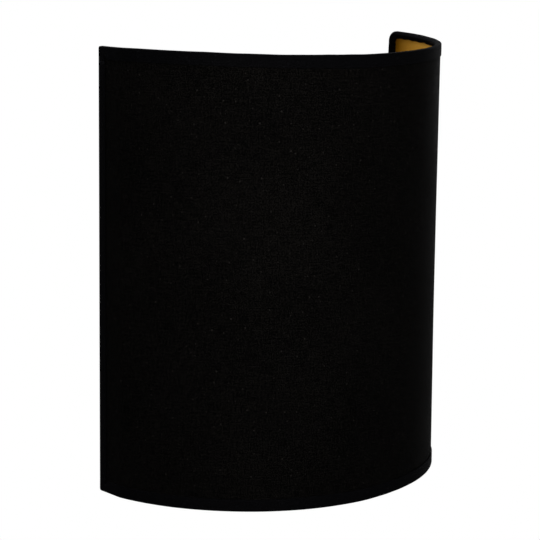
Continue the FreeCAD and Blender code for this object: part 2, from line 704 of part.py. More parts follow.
def crossbar():
    """Strap against the wall with raised ends for the machine screws."""
    body = new_body("wall_strap")
    profile = new_sketch(body, "XY_Plane", "profile", "-Sizes.strap_height / 2")
    end = "(%s + Sizes.strap_end)" % STUD_X
    foot = "(%s - Sizes.strap_end)" % STUD_X
    mid = "(%s - Sizes.strap_ramp)" % foot
    back, front = "-Sizes.strap_rise", "-(Sizes.strap_rise + Sizes.strap_sheet)"
    # The bends of the front face lie half a sheet further in, so that the slope keeps its thickness
    inner_foot = "(%s - Sizes.strap_sheet / 2)" % foot
    inner_mid = "(%s - Sizes.strap_sheet / 2)" % mid
    draw(profile, [
        ("-" + mid, "0"),
        (mid, "0"),
        (foot, back),
        (end, back),
        (end, front),
        (inner_foot, front),
        (inner_mid, "-Sizes.strap_sheet"),
        ("-" + inner_mid, "-Sizes.strap_sheet"),
        ("-" + inner_foot, front),
        ("-" + end, front),
        ("-" + end, back),
        ("-" + foot, back),
    ])
    bar = pad(body, profile, "Sizes.strap_height")
    reach = value(end)
    fillet(body, bar, "Sizes.strap_corner",
           lambda edge: edges_along("y")(edge) and abs(abs(edge.BoundBox.XMax) - reach) < 1e-4)
    holes = new_sketch(body, "XZ_Plane", "holes")
    circle(holes, "0", "0", "Sizes.supply_hole / 2")
    circle(holes, "Sizes.earth_place", "0", "%s + Sizes.thread_ease" % STUD_R)
    for side in ("-", ""):
        slot(holes, side + "Sizes.wall_slot_spacing / 2", "0", "Sizes.wall_slot_run",
             "Sizes.wall_slot_width")
        circle(holes, side + STUD_X, "0", "%s + Sizes.thread_ease" % STUD_R)
    pocket(body, holes)


def machine_screws():
    """Two screws from behind the raised ends of the crossbar, through the wall plate."""
    body = new_body("strap_screws")
    heads = new_sketch(body, "XZ_Plane", "heads", "Sizes.strap_rise")
    shanks = new_sketch(body, "XZ_Plane", "shanks", "Sizes.strap_rise")
    for side in ("-", ""):
        circle(heads, side + STUD_X, "0", "Sizes.stud_head / 2")
        circle(shanks, side + STUD_X, "0", STUD_R)
    pad(body, shanks, "Sizes.plate_depth + Sizes.stud_reach - Sizes.strap_rise")
    pad(body, heads, "Sizes.stud_head_rise", reverse=True)


def cap_nuts():
    """Two domed nuts that draw the wall plate onto the crossbar."""
    body = new_body("cap_nuts")
    hexagons = new_sketch(body, "XZ_Plane", "hexagons", PLATE_FRONT)
    for side in ("-", ""):
        corners = []
        for k in range(6):
            along = "Sizes.nut_flats / 2 / cos(30) * cos(%d)" % (60 * k)
            up = "Sizes.nut_flats / 2 / cos(30) * sin(%d)" % (60 * k)
            corners.append(("%s%s + %s" % (side, STUD_X, along), up))
        draw(hexagons, corners)
    pad(body, hexagons, "Sizes.nut_rise")
    for side in ("-", ""):
        dome = new_sketch(body, "XY_Plane", "dome_%s" % ("left" if side else "right"))
        base = "-(%s + Sizes.nut_rise)" % PLATE_FRONT
        crown = "%s - Sizes.nut_dome" % base
        spot = side + STUD_X
        draw(dome, [(spot, base), (spot, crown, "x"), ("%s + Sizes.nut_dome" % spot, base)],
             {1: (spot, base, 1, None)})
        feature = body.newObject("PartDesign::Revolution", dome.Name + "_turn")
        feature.Profile = dome
        feature.ReferenceAxis = (dome, ["Edge1"])
        feature.Angle = 360
        finish_feature(body, feature, dome.Name + "_turn")
    bores = new_sketch(body, "XZ_Plane", "bores", PLATE_FRONT)
    for side in ("-", ""):
        circle(bores, side + STUD_X, "0", "%s + Sizes.thread_ease" % STUD_R)
    pocket(body, bores, "Sizes.stud_reach + Sizes.thread_ease", reverse=True)


def earth_screw():
    """Pan-head screw with a cupped washer on the crossbar."""
    body = new_body("earth_screw", ("Sizes.earth_place", "-Sizes.strap_sheet", "0"))
    parts = (
        ("washer", "Sizes.earth_washer / 2", "Sizes.washer_sheet", False),
        ("head", "Sizes.stud_head / 2", "Sizes.washer_sheet + Sizes.stud_head_rise", False),
        ("shank", STUD_R, "Sizes.strap_sheet", True),
    )
    for name, radius, length, reverse in parts:
        section = new_sketch(body, "XZ_Plane", name)
        circle(section, "0", "0", radius)
        feature = pad(body, section, length, reverse=reverse)
        if name == "head":
            rise = -value(length)
            fillet(body, feature, "Sizes.head_round", edges_at("y", rise))


BLOCK_FRONT = "(Sizes.plate_depth - Sizes.plate_sheet)"
BLOCK_BACK = "(%s - Sizes.block_depth)" % BLOCK_FRONT
BLOCK_FOOT = "-(Sizes.block_drop + Sizes.block_height)"
BLOCK_MID = "-(Sizes.block_drop + Sizes.block_height / 2)"


def terminal_block():
    """Two-pole block inside the plate: a body with two screw turrets and a way in for each lead."""
    body = new_body("terminal_block")
    outline = new_sketch(body, "XZ_Plane", "outline", "%s + Sizes.turret_rise" % BLOCK_BACK)
    rectangle(outline, "-Sizes.block_width / 2", "Sizes.block_width / 2", BLOCK_FOOT,
              "-Sizes.block_drop")
    block = pad(body, outline, "Sizes.block_depth - Sizes.turret_rise")
    fillet(body, block, "Sizes.block_round", edges_along("y"))
    turrets = new_sketch(body, "XZ_Plane", "turrets", BLOCK_BACK)
    for side in ("-", ""):
        circle(turrets, side + "Sizes.pole_spacing / 2", BLOCK_MID, "Sizes.pole_turret / 2")
    pad(body, turrets, "Sizes.block_depth / 2")
    wells = new_sketch(body, "XZ_Plane", "wells", BLOCK_BACK)
    ways = new_sketch(body, "XY_Plane", "ways", BLOCK_FOOT)
    for side in ("-", ""):
        circle(wells, side + "Sizes.pole_spacing / 2", BLOCK_MID,
               "Sizes.pole_screw / 2 + Sizes.pole_ease")
        circle(ways, side + "Sizes.pole_spacing / 2", LEAD_BACK,
               "Sizes.lead_size / 2 + Sizes.pole_ease")
    pocket(body, wells, "Sizes.pole_well", reverse=True)
    pocket(body, ways, "Sizes.lead_way", reverse=True)


def terminal_screws():
    """Clamping screws in the turrets, slotted."""
    body = new_body("terminal_screws")
    head = "%s + Sizes.screw_sink" % BLOCK_BACK
    rods = new_sketch(body, "XZ_Plane", "rods", head)
    for side in ("-", ""):
        circle(rods, side + "Sizes.pole_spacing / 2", BLOCK_MID, "Sizes.pole_screw / 2")
    pad(body, rods, "Sizes.pole_well - Sizes.screw_sink")
    cuts = new_sketch(body, "XZ_Plane", "cuts", head)
    rectangle(cuts, "-Sizes.block_width / 2", "Sizes.block_width / 2",
              "%s - Sizes.screw_slot / 2" % BLOCK_MID, "%s + Sizes.screw_slot / 2" % BLOCK_MID)
    pocket(body, cuts, "Sizes.screw_slot_depth", reverse=True)


# Lamp arm: a pressed channel that carries the lampholder and hides the leads

ARM_FOOT = "(%s - Sizes.arm_height)" % ARM_TOP
LEAD_BACK = "-(%s + Sizes.block_depth / 2)" % BLOCK_BACK
# How far a cut runs past the face that it opens
OPENING = 1.0


def channel_outline(sketch, half, back):
    """Plan of the arm: parallel sides and a round end about the lamp axis."""
    corners = [
        ("-" + half, "-" + back),
        ("-" + half, "-Sizes.lamp_reach"),
        (half, "-Sizes.lamp_reach", "y"),
        (half, "-" + back),
    ]
    draw(sketch, corners, {1: ("0", "-Sizes.lamp_reach", 1, None)})


def lamp_arm():
    body = new_body("lamp_arm")
    outline = new_sketch(body, "XY_Plane", "outline", ARM_FOOT)
    channel_outline(outline, "Sizes.arm_width / 2", PLATE_FRONT)
    solid = pad(body, outline, "Sizes.arm_height")
    top = value(ARM_TOP)
    back = -value(PLATE_FRONT)
    fillet(body, solid, "Sizes.arm_bend",
           lambda edge: edges_at("z", top)(edge) and edge.BoundBox.YMin < back - OPENING)
    inside = new_sketch(body, "XY_Plane", "inside", ARM_FOOT)
    channel_outline(inside, "(Sizes.arm_width / 2 - Sizes.arm_sheet)",
                    "(%s - %s)" % (PLATE_FRONT, OPENING))
    pocket(body, inside, "Sizes.arm_height - Sizes.arm_sheet", reverse=True)
    ears = new_sketch(body, "XZ_Plane", "ears", PLATE_FRONT)
    for side in ("-", ""):
        near = side + "(Sizes.arm_width / 2 - Sizes.arm_sheet / 2)"
        far = side + "(%s + Sizes.arm_ear / 2)" % EAR_X
        low = "%s - Sizes.arm_ear_height / 2" % LEAD_LEVEL
        high = "%s + Sizes.arm_ear_height / 2" % LEAD_LEVEL
        rectangle(ears, near, far, low, high)
    flange = pad(body, ears, "Sizes.arm_sheet")
    reach = value("%s + Sizes.arm_ear / 2" % EAR_X)
    fillet(body, flange, "Sizes.ear_corner",
           lambda edge: edges_along("y")(edge) and abs(abs(edge.BoundBox.XMax) - reach) < 1e-4)
    holes = new_sketch(body, "XZ_Plane", "holes", PLATE_FRONT)
    for side in ("-", ""):
        circle(holes, side + EAR_X, LEAD_LEVEL, "Sizes.ear_screw / 2 + Sizes.hole_ease")
    pocket(body, holes, "Sizes.arm_sheet", reverse=True)
    seat = new_sketch(body, "XY_Plane", "seat", ARM_TOP)
    circle(seat, "0", "-Sizes.lamp_reach", "Sizes.nipple_size / 2 + Sizes.thread_ease")
    pocket(body, seat, "Sizes.arm_sheet")


def arm_screws():
    """Two pan-head screws through the ears into the wall plate."""
    body = new_body("arm_screws")
    face = "(%s + Sizes.arm_sheet)" % PLATE_FRONT
    heads = new_sketch(body, "XZ_Plane", "heads", face)
    shanks = new_sketch(body, "XZ_Plane", "shanks", face)
    for side in ("-", ""):
        circle(heads, side + EAR_X, LEAD_LEVEL, "Sizes.ear_screw_head / 2")
        circle(shanks, side + EAR_X, LEAD_LEVEL, "Sizes.ear_screw / 2")
    cap = pad(body, heads, "Sizes.ear_screw_rise")
    fillet(body, cap, "Sizes.head_round",
           edges_at("y", -value("%s + Sizes.ear_screw_rise" % face)))
    pad(body, shanks, "Sizes.ear_screw_run", reverse=True)


wall_plate()
shade_clip("left_shade_clip", "-")
shade_clip("right_shade_clip", "")
crossbar()
machine_screws()
cap_nuts()
earth_screw()
terminal_block()
terminal_screws()
lamp_arm()
arm_screws()

# Rubber bush where the leads leave the wall plate: a lip on each side of the sheet

bush = new_body("lead_bush", ("0", "0", LEAD_LEVEL))
for name, face, radius, length in (
    ("neck", BLOCK_FRONT, "Sizes.lead_hole / 2", "Sizes.plate_sheet"),
    ("inner_lip", "(%s - Sizes.bush_lip)" % BLOCK_FRONT, "Sizes.lead_hole / 2 + Sizes.bush_lip",
     "Sizes.bush_lip"),
    ("outer_lip", PLATE_FRONT, "Sizes.lead_hole / 2 + Sizes.bush_lip", "Sizes.bush_lip"),
):
    ring = new_sketch(bush, "XZ_Plane", name, face)
    circle(ring, "0", "0", radius)
    pad(bush, ring, length)
bush_hole = new_sketch(bush, "XZ_Plane", "bore")
circle(bush_hole, "0", "0", "Sizes.bush_bore / 2")
pocket(bush, bush_hole)


# Lampholder: cap, skirt, contact carrier, threaded sleeve and spring contact on a hollow nipple

SEAT = ("0", "-Sizes.lamp_reach", ARM_TOP)
HOLDER_R = "(Sizes.holder_size / 2)"
SKIRT_R = "(Sizes.skirt_size / 2)"
NIPPLE_R = "(Sizes.nipple_size / 2)"
TIP_R = "(Sizes.lamp_tip / 2)"


def holder_cap():
    inner = "(%s - Sizes.holder_wall)" % HOLDER_R
    centre = "(%s - Sizes.holder_round)" % HOLDER_R
    bore = "(%s + Sizes.thread_ease)" % NIPPLE_R
    corners = [
        (bore, "0"),
        (centre, "0"),
        (HOLDER_R, "Sizes.holder_round", "y"),
        (HOLDER_R, "Sizes.holder_split"),
        (inner, "Sizes.holder_split"),
        (inner, "Sizes.holder_round"),
        (centre, "Sizes.holder_wall", "x"),
        ("Sizes.holder_boss", "Sizes.holder_wall"),
        ("Sizes.holder_boss", "Sizes.boss_rise"),
        (bore, "Sizes.boss_rise"),
    ]
    arcs = {
        1: (centre, "Sizes.holder_round", 1, None),
        5: (centre, "Sizes.holder_round", -1, None),
    }
    turned("holder_cap", corners, arcs, SEAT)


def holder_skirt():
    """Skirt with a fluted grip band at its foot and an inner shoulder over the contact carrier."""
    band_top = "(Sizes.holder_split + Sizes.grip_rise)"
    step = "(%s - %s)" % (HOLDER_R, SKIRT_R)
    lip = "(Sizes.holder_wall / 2)"
    corners = [
        (HOLDER_R, "Sizes.holder_split"),
        (HOLDER_R, band_top),
        (SKIRT_R, "%s + %s" % (band_top, step)),
        (SKIRT_R, "Sizes.holder_rise - %s" % lip),
        ("%s - Sizes.holder_wall" % SKIRT_R, "Sizes.holder_rise - %s" % lip, "y"),
        ("%s - Sizes.holder_wall" % SKIRT_R, "Sizes.insert_top"),
        ("%s - Sizes.holder_wall" % HOLDER_R, "Sizes.insert_top"),
        ("%s - Sizes.holder_wall" % HOLDER_R, "Sizes.holder_split"),
    ]
    arcs = {3: ("%s - %s" % (SKIRT_R, lip), "Sizes.holder_rise - %s" % lip, 1, None)}
    body = turned("holder_skirt", corners, arcs, SEAT)
    flute = new_sketch(body, "XY_Plane", "flute", "Sizes.holder_split")
    circle(flute, "%s + Sizes.flute_radius - Sizes.flute_bite" % HOLDER_R, "0",
           "Sizes.flute_radius")
    cut = pocket(body, flute, "Sizes.grip_rise", reverse=True)
    ring = body.newObject("PartDesign::PolarPattern", "skirt_flutes")
    ring.Originals = [cut]
    ring.Axis = (flute, ["N_Axis"])
    ring.Angle = 360
    ring.setExpression("Occurrences", "Sizes.grip_flutes")
    finish_feature(body, ring, "flutes")


def contact_carrier():
    radius = "(%s - Sizes.holder_wall - Sizes.insert_ease)" % HOLDER_R
    turned("contact_carrier", [
        ("0", "Sizes.insert_foot"),
        (radius, "Sizes.insert_foot"),
        (radius, "Sizes.insert_top"),
        ("Sizes.insert_well_radius", "Sizes.insert_top"),
        ("Sizes.insert_well_radius", "Sizes.insert_top - Sizes.insert_well"),
        ("0", "Sizes.insert_top - Sizes.insert_well"),
    ], at=SEAT)


def thread_sleeve():
    bore = "Sizes.sleeve_bore / 2"
    top = "(Sizes.insert_top + Sizes.sleeve_rise)"
    turned("thread_sleeve", [
        (bore, "Sizes.insert_top"),
        ("%s + Sizes.sleeve_wall" % bore, "Sizes.insert_top"),
        ("%s + Sizes.sleeve_wall" % bore, top),
        (bore, top),
    ], at=SEAT)


def spring_contact():
    """Strip on the floor of the well, bent up to a flat tongue under the lamp's tip."""
    body = new_body("spring_contact", SEAT)
    profile = new_sketch(body, "XZ_Plane", "profile")
    floor = "(Sizes.insert_top - Sizes.insert_well)"
    tongue = "(%s + Sizes.contact_rise)" % floor
    heel = "-(Sizes.insert_well_radius - Sizes.contact_margin)"
    ramp = "(%s + Sizes.contact_width)" % heel
    crest = "(%s + Sizes.contact_ramp)" % ramp
    draw(profile, [
        (heel, floor),
        (ramp, floor),
        (crest, "%s - Sizes.contact_strip" % tongue),
        (TIP_R, "%s - Sizes.contact_strip" % tongue),
        (TIP_R, tongue),
        ("%s - Sizes.contact_knee" % crest, tongue),
        ("%s - Sizes.contact_knee" % ramp, "%s + Sizes.contact_strip" % floor),
        (heel, "%s + Sizes.contact_strip" % floor),
    ])
    pad(body, profile, "Sizes.contact_width", both_ways=True)


def hollow_nipple():
    bore = "Sizes.nipple_bore / 2"
    turned("hollow_nipple", [
        (bore, "-Sizes.nipple_below"),
        (NIPPLE_R, "-Sizes.nipple_below"),
        (NIPPLE_R, "Sizes.nipple_above"),
        (bore, "Sizes.nipple_above"),
    ], at=SEAT)


def lock_nut():
    """Thin hexagon nut on the nipple, under the arm's web."""
    body = new_body("lock_nut", SEAT)
    shape = new_sketch(body, "XY_Plane", "hexagon", "-(Sizes.arm_sheet + Sizes.lock_nut_rise)")
    corners = []
    for k in range(6):
        corners.append(("Sizes.lock_nut_flats / 2 / cos(30) * cos(%d)" % (60 * k),
                        "Sizes.lock_nut_flats / 2 / cos(30) * sin(%d)" % (60 * k)))
    draw(shape, corners)
    circle(shape, "0", "0", "%s + Sizes.thread_ease" % NIPPLE_R)
    pad(body, shape, "Sizes.lock_nut_rise")


holder_cap()
holder_skirt()
contact_carrier()
thread_sleeve()
spring_contact()
hollow_nipple()
lock_nut()


# Leads: from the terminal block down, through the bush, along the arm and up the nipple

def rounded_path(points, radius):
    """Straight runs joined by tangent arcs."""
    edges = []
    start = points[0]
    for before, corner, after in zip(points, points[1:], points[2:]):
        to_before = (before - corner).normalize()
        to_after = (after - corner).normalize()
        half_turn = (math.pi - to_before.getAngle(to_after)) / 2
        trim = radius * math.tan(half_turn)
        first = corner + to_before * trim
        last = corner + to_after * trim
        inward = (to_before + to_after).normalize()
        middle = corner + inward * (radius / math.cos(half_turn) - radius)
        edges.append(Part.LineSegment(start, first).toShape())
        edges.append(Part.Arc(first, middle, last).toShape())
        start = last
    edges.append(Part.LineSegment(start, points[-1]).toShape())
    return Part.Wire(edges)


def lead(label, side):
    radius = value("Sizes.lead_size / 2")
    pole = side * value("Sizes.pole_spacing / 2")
    near = side * value("Sizes.lead_pair / 2")
    back = value(LEAD_BACK)
    level = value(LEAD_LEVEL)
    reach = -value("Sizes.lamp_reach")
    top = value("%s + Sizes.insert_foot" % ARM_TOP)
    bend = value("Sizes.lead_bend")
    points = [
        Vector(pole, back, value(BLOCK_FOOT)),
        Vector(pole, back, value(BLOCK_FOOT) - bend),
        Vector(near, back, level),
        Vector(near, reach, level),
        Vector(near, reach, top),
    ]
    path = rounded_path(points, bend)
    start = path.Edges[0].Vertexes[0].Point
    section = Part.Wire(Part.makeCircle(radius, start, Vector(0, 0, -1)))
    shape = path.makePipeShell([section], True, False, 2)
    piece = doc.addObject("Part::Feature", label)
    piece.Shape = shape
    piece.Label = label
    piece.Placement = FreeCAD.Placement()
    sub_parts.append(piece)
    print(label, "length", round(path.Length, 2), "volume ratio",
          round(shape.Volume / (math.pi * radius ** 2 * path.Length), 4))


lead("line_lead", -1)
lead("neutral_lead", 1)


# Lamp: a filament lamp on a screw cap, standing on the spring contact

TIP = ("0", "-Sizes.lamp_reach",
       "%s + Sizes.insert_top - Sizes.insert_well + Sizes.contact_rise" % ARM_TOP)
CAP_R = "(Sizes.lamp_cap / 2)"
CONE_R = "(Sizes.lamp_cone / 2)"
STEM_TOP = "(Sizes.filament_base - Sizes.spider_sheet)"


def lamp_glass():
    """Globe that runs into the neck along a tangent, one wall thick."""
    neck, foot = "(Sizes.lamp_neck / 2)", "Sizes.lamp_cap_top"
    globe = "(Sizes.lamp_size / 2)"
    centre = "(Sizes.lamp_length - %s)" % globe
    wall = "Sizes.glass_wall"

    def tangent_corner(start_radius, radius):
        drop = value(centre) - value(foot)
        far = math.hypot(start_radius, drop)
        angle = math.atan2(start_radius, -drop)
        turn = math.acos(radius / far)
        direction = angle - turn
        return radius * math.sin(direction), value(centre) + radius * math.cos(direction)

    outer = tangent_corner(value(neck), value(globe))
    inner = tangent_corner(value("%s - %s" % (neck, wall)), value("%s - %s" % (globe, wall)))
    corners = [
        (neck, foot),
        outer + ("tangent",),
        ("0", "Sizes.lamp_length", "x"),
        ("0", "Sizes.lamp_length - %s" % wall, "x"),
        inner + ("tangent",),
        ("%s - %s" % (neck, wall), foot),
    ]
    arcs = {
        1: ("0", centre, 1, globe),
        3: ("0", centre, -1, "%s - %s" % (globe, wall)),
    }
    turned("lamp_glass", corners, arcs, TIP)


def lamp_cap():
    wall = "Sizes.lamp_cap_wall"
    bevel = "(Sizes.lamp_cap_foot + Sizes.lamp_cap_bevel)"
    turned("lamp_screw_cap", [
        (CONE_R, "Sizes.lamp_cap_foot"),
        (CAP_R, bevel),
        (CAP_R, "Sizes.lamp_cap_top"),
        ("%s - %s" % (CAP_R, wall), "Sizes.lamp_cap_top"),
        ("%s - %s" % (CAP_R, wall), "%s + %s / 2" % (bevel, wall)),
        ("%s - %s" % (CONE_R, wall), "Sizes.lamp_cap_foot"),
    ], at=TIP)


def lamp_insulator():
    """Black glass cone between the solder tip and the screw cap."""
    turned("lamp_insulator", [
        ("0", "Sizes.lamp_tip_rise"),
        (TIP_R, "Sizes.lamp_tip_rise"),
        ("%s + Sizes.cone_step" % TIP_R, "Sizes.lamp_tip_rise + Sizes.cone_foot"),
        (CONE_R, "Sizes.lamp_cap_foot - Sizes.cone_rim"),
        (CONE_R, "Sizes.lamp_cap_foot"),
        ("0", "Sizes.lamp_cap_foot"),
    ], at=TIP)


def lamp_tip():
    turned("lamp_tip", [
        ("0", "0"),
        ("%s - Sizes.tip_bevel" % TIP_R, "0"),
        (TIP_R, "Sizes.tip_bevel"),
        (TIP_R, "Sizes.lamp_tip_rise"),
        ("0", "Sizes.lamp_tip_rise"),
    ], at=TIP)


def lamp_stem():
    """Glass stem fused into the neck: a flared foot and a rod."""
    stem = "(Sizes.stem_size / 2)"
    flare = "(Sizes.lamp_neck / 2 - Sizes.glass_wall - Sizes.tape_ease)"
    foot = "Sizes.lamp_cap_top - Sizes.stem_foot"
    turned("lamp_stem", [
        ("0", foot),
        (flare, foot),
        (flare, "Sizes.lamp_cap_top"),
        (stem, "Sizes.lamp_cap_top + Sizes.stem_size"),
        ("%s - Sizes.stem_taper" % stem, STEM_TOP),
        ("0", STEM_TOP),
    ], at=TIP)


def filament_set():
    """Glowing rods between two small discs, the lower one on the stem."""
    body = new_body("lamp_filaments", TIP)
    levels = (STEM_TOP, "Sizes.filament_base + Sizes.filament_run")
    rods = new_sketch(body, "XY_Plane", "rods", "Sizes.filament_base")
    count = round(value("Sizes.filament_count"))
    for k in range(count):
        angle = 360.0 / count * (k + 0.5)
        circle(rods, "Sizes.filament_circle * cos(%g)" % angle,
               "Sizes.filament_circle * sin(%g)" % angle, "Sizes.filament_size / 2")
    pad(body, rods, "Sizes.filament_run")
    for number, level in enumerate(levels):
        disc = new_sketch(body, "XY_Plane", "disc_%d" % number, level)
        circle(disc, "0", "0", "Sizes.filament_circle + Sizes.filament_size")
        pad(body, disc, "Sizes.spider_sheet")


lamp_tip()
lamp_insulator()
lamp_cap()
lamp_glass()
lamp_stem()
filament_set()


# Checks and files

doc.recompute()
for thing in doc.Objects:
    if "Invalid" in thing.State or "Error" in thing.State:
        raise RuntimeError("%s is %s" % (thing.Name, thing.State))
for piece in sub_parts:
    if piece.Shape.isNull() or not piece.Shape.isValid():
        raise RuntimeError(piece.Label + " has no valid shape")
    if not piece.Shape.Solids:
        raise RuntimeError(piece.Label + " has no solid")

os.makedirs("parts", exist_ok=True)
for piece in sub_parts:
    piece.Shape.exportStep(os.path.join("parts", piece.Label + ".step"))
print(len(sub_parts), "pieces")
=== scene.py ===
import math

import bmesh
import bpy
from mathutils import Matrix, Vector, noise


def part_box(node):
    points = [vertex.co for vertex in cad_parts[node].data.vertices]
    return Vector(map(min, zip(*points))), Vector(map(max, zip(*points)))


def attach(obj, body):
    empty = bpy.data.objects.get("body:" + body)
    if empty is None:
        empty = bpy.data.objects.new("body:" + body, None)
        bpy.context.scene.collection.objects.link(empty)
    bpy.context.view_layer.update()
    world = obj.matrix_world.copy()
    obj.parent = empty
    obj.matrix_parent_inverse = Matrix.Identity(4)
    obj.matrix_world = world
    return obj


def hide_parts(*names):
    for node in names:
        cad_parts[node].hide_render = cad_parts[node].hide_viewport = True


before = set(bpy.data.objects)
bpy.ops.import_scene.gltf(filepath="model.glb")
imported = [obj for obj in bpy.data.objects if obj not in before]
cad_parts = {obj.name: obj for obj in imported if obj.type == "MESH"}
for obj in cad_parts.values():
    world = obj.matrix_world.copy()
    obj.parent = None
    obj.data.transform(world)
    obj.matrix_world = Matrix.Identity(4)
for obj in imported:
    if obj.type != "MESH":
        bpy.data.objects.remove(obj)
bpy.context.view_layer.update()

MM = 0.001
TAU = 2 * math.pi

# Shade plan, on the face of the fabric

COVER_LOW, COVER_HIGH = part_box("shade_cover")
HALF_WIDTH = COVER_HIGH.x
DEPTH = -COVER_LOW.y
RETURN_RUN = 20 * MM
CORNER = 25 * MM
ACROSS = HALF_WIDTH - CORNER
FORWARD = DEPTH - RETURN_RUN
FRONT_RADIUS = (ACROSS ** 2 + FORWARD ** 2 - CORNER ** 2) / (2 * (FORWARD - CORNER))
FRONT_CENTRE = FRONT_RADIUS - DEPTH
FRONT_ANGLE = math.atan2(ACROSS, RETURN_RUN + FRONT_CENTRE)
FRONT_RUN = FRONT_RADIUS * FRONT_ANGLE
BEND_RUN = CORNER * (math.pi / 2 - FRONT_ANGLE)
HALF_RUN = FRONT_RUN + BEND_RUN + RETURN_RUN

# Heights and the layers of the wall, inwards from the face of the fabric

RIM = 150 * MM
COVER_EDGE = COVER_HIGH.z
COVER_WALL = 0.5 * MM
LINER_FACE = 0.6 * MM
LINER_BACK = 1.0 * MM
TAPE = 0.5 * MM
TAPE_EASE = 0.1 * MM
TAPE_OUT = TAPE + TAPE_EASE
WIRE_R = 1.1 * MM
WIRE_IN = LINER_BACK + TAPE_EASE + WIRE_R
WIRE_BACK = TAPE_OUT + WIRE_R
WIRE_BEND = 5 * MM
RIM_OUTSIDE = 8.5 * MM
RIM_INSIDE = 5.2 * MM
EDGE_OUTSIDE = 7 * MM
EDGE_INSIDE = 5.4 * MM
# Corners of the wall at its back edges: sharp on the left, softly rounded on the right
LEFT_CORNER = 1.2 * MM
RIGHT_CORNER = 6.7 * MM
FAN = 9.5 * MM


def plan(run, inset=0.0):
    """Point and outward normal of the plan at a run from the middle of the front."""
    side = -1 if run < 0 else 1
    run = abs(run)
    if run < FRONT_RUN:
        turn = run / FRONT_RADIUS
        centre, radius = Vector((0, FRONT_CENTRE)), FRONT_RADIUS
    elif run < FRONT_RUN + BEND_RUN:
        turn = FRONT_ANGLE + (run - FRONT_RUN) / CORNER
        centre, radius = Vector((ACROSS, -RETURN_RUN)), CORNER
    else:
        turn = math.pi / 2
        centre = Vector((ACROSS, -RETURN_RUN + run - FRONT_RUN - BEND_RUN))
        radius = CORNER
    normal = Vector((math.sin(turn), -math.cos(turn)))
    point = centre + (radius - inset) * normal
    return Vector((side * point.x, point.y)), Vector((side * normal.x, normal.y))


def spread(low, high, step):
    """Evenly spaced values about a step apart, both ends included."""
    count = max(2, round((high - low) / step) + 1)
    return [low + (high - low) * i / (count - 1) for i in range(count)]


# Meshes

def finish_mesh(name, edit, body, material):
    """Object from a bmesh, riding on a body."""
    bmesh.ops.recalc_face_normals(edit, faces=edit.faces)
    mesh = bpy.data.meshes.new(name)
    for face in edit.faces:
        face.smooth = True
    edit.to_mesh(mesh)
    edit.free()
    piece = bpy.data.objects.new(name, mesh)
    bpy.context.scene.collection.objects.link(piece)
    mesh.materials.append(material)
    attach(piece, body)
    return piece


def cloth_shell(name, rows, cloth_rows, material):
    """Closed skin on the shade through loops of points, capped at both ends.

    Each point also has its place on the flat cloth, in metres, for the weave.
    """
    edit = bmesh.new()
    cloth = edit.loops.layers.uv.new("cloth")
    grid = [[edit.verts.new(point) for point in row] for row in rows]
    width = len(rows[0])
    for low, high in zip(grid, grid[1:]):
        for j in range(width):
            k = (j + 1) % width
            edit.faces.new((low[j], low[k], high[k], high[j]))
    for row in (grid[0], grid[-1]):
        edit.faces.new(row)
    place = {}
    for vertices, spots in zip(grid, cloth_rows):
        place.update(zip(vertices, spots))
    for face in edit.faces:
        for loop in face.loops:
            loop[cloth].uv = place[loop.vert]
    return finish_mesh(name, edit, "shade", material)


def ring_about(centre, axis, radius, along, segments):
    """Ring of points about an axis; radius and along are numbers or functions of the angle."""
    axis = Vector(axis).normalized()
    side = axis.orthogonal().normalized()
    up = axis.cross(side)
    points = []
    for i in range(segments):
        angle = TAU * i / segments
        reach = radius(angle) if callable(radius) else radius
        level = along(angle) if callable(along) else along
        aside = math.cos(angle) * side + math.sin(angle) * up
        points.append(Vector(centre) + axis * level + reach * aside)
    return points


def skin(edit, rings, closed=False):
    """Faces through rings of points in order; a ring of one point closes an end."""
    made = [[edit.verts.new(point) for point in ring] for ring in rings]
    count = max(len(ring) for ring in made)
    for low, high in zip(made, made[1:] + made[:1] if closed else made[1:]):
        for i in range(count):
            k = (i + 1) % count
            corners = [low[i % len(low)], low[k % len(low)], high[k % len(high)], high[i % len(high)]]
            corners = list(dict.fromkeys(corners))
            if len(corners) > 2:
                edit.faces.new(corners)


# Materials

def new_material(name, colour, roughness, metallic=0.0, **sockets):
    """Principled material; sockets are set on the shader itself, with underscores for spaces."""
    material = bpy.data.materials.new(name)
    material.use_nodes = True
    shader = material.node_tree.nodes["Principled BSDF"]
    shader.inputs["Base Color"].default_value = (*colour, 1)
    shader.inputs["Roughness"].default_value = roughness
    shader.inputs["Metallic"].default_value = metallic
    for socket, amount in sockets.items():
        shader.inputs[socket.replace("_", " ")].default_value = amount
    material.diffuse_color = (*colour, 1)
    return material, shader


def add(tree, kind, **settings):
    """Node with its properties set."""
    made = tree.nodes.new(kind)
    for key, amount in settings.items():
        setattr(made, key, amount)
    return made


def link(tree, source, target):
    """Joins an output, or sets a plain number."""
    if hasattr(source, "is_output"):
        tree.links.new(source, target)
    else:
        target.default_value = source


def maths(tree, operation, first, second=0.0):
    """Result of a math node."""
    made = add(tree, "ShaderNodeMath", operation=operation)
    link(tree, first, made.inputs[0])
    link(tree, second, made.inputs[1])
    return made.outputs[0]


def grain(tree, vector, scale, detail=2.0, roughness=0.5):
    """Noise between 0 and 1, with its scale in waves per metre."""
    made = add(tree, "ShaderNodeTexNoise")
    link(tree, vector, made.inputs["Vector"])
    made.inputs["Scale"].default_value = scale
    made.inputs["Detail"].default_value = detail
    made.inputs["Roughness"].default_value = roughness
    made.inputs["Distortion"].default_value = 0.0
    return made.outputs["Fac"]


def stretched(tree, vector, scale):
    """Coordinates scaled by a different amount along each axis."""
    made = add(tree, "ShaderNodeVectorMath", operation="MULTIPLY")
    link(tree, vector, made.inputs[0])
    made.inputs[1].default_value = scale
    return made.outputs[0]


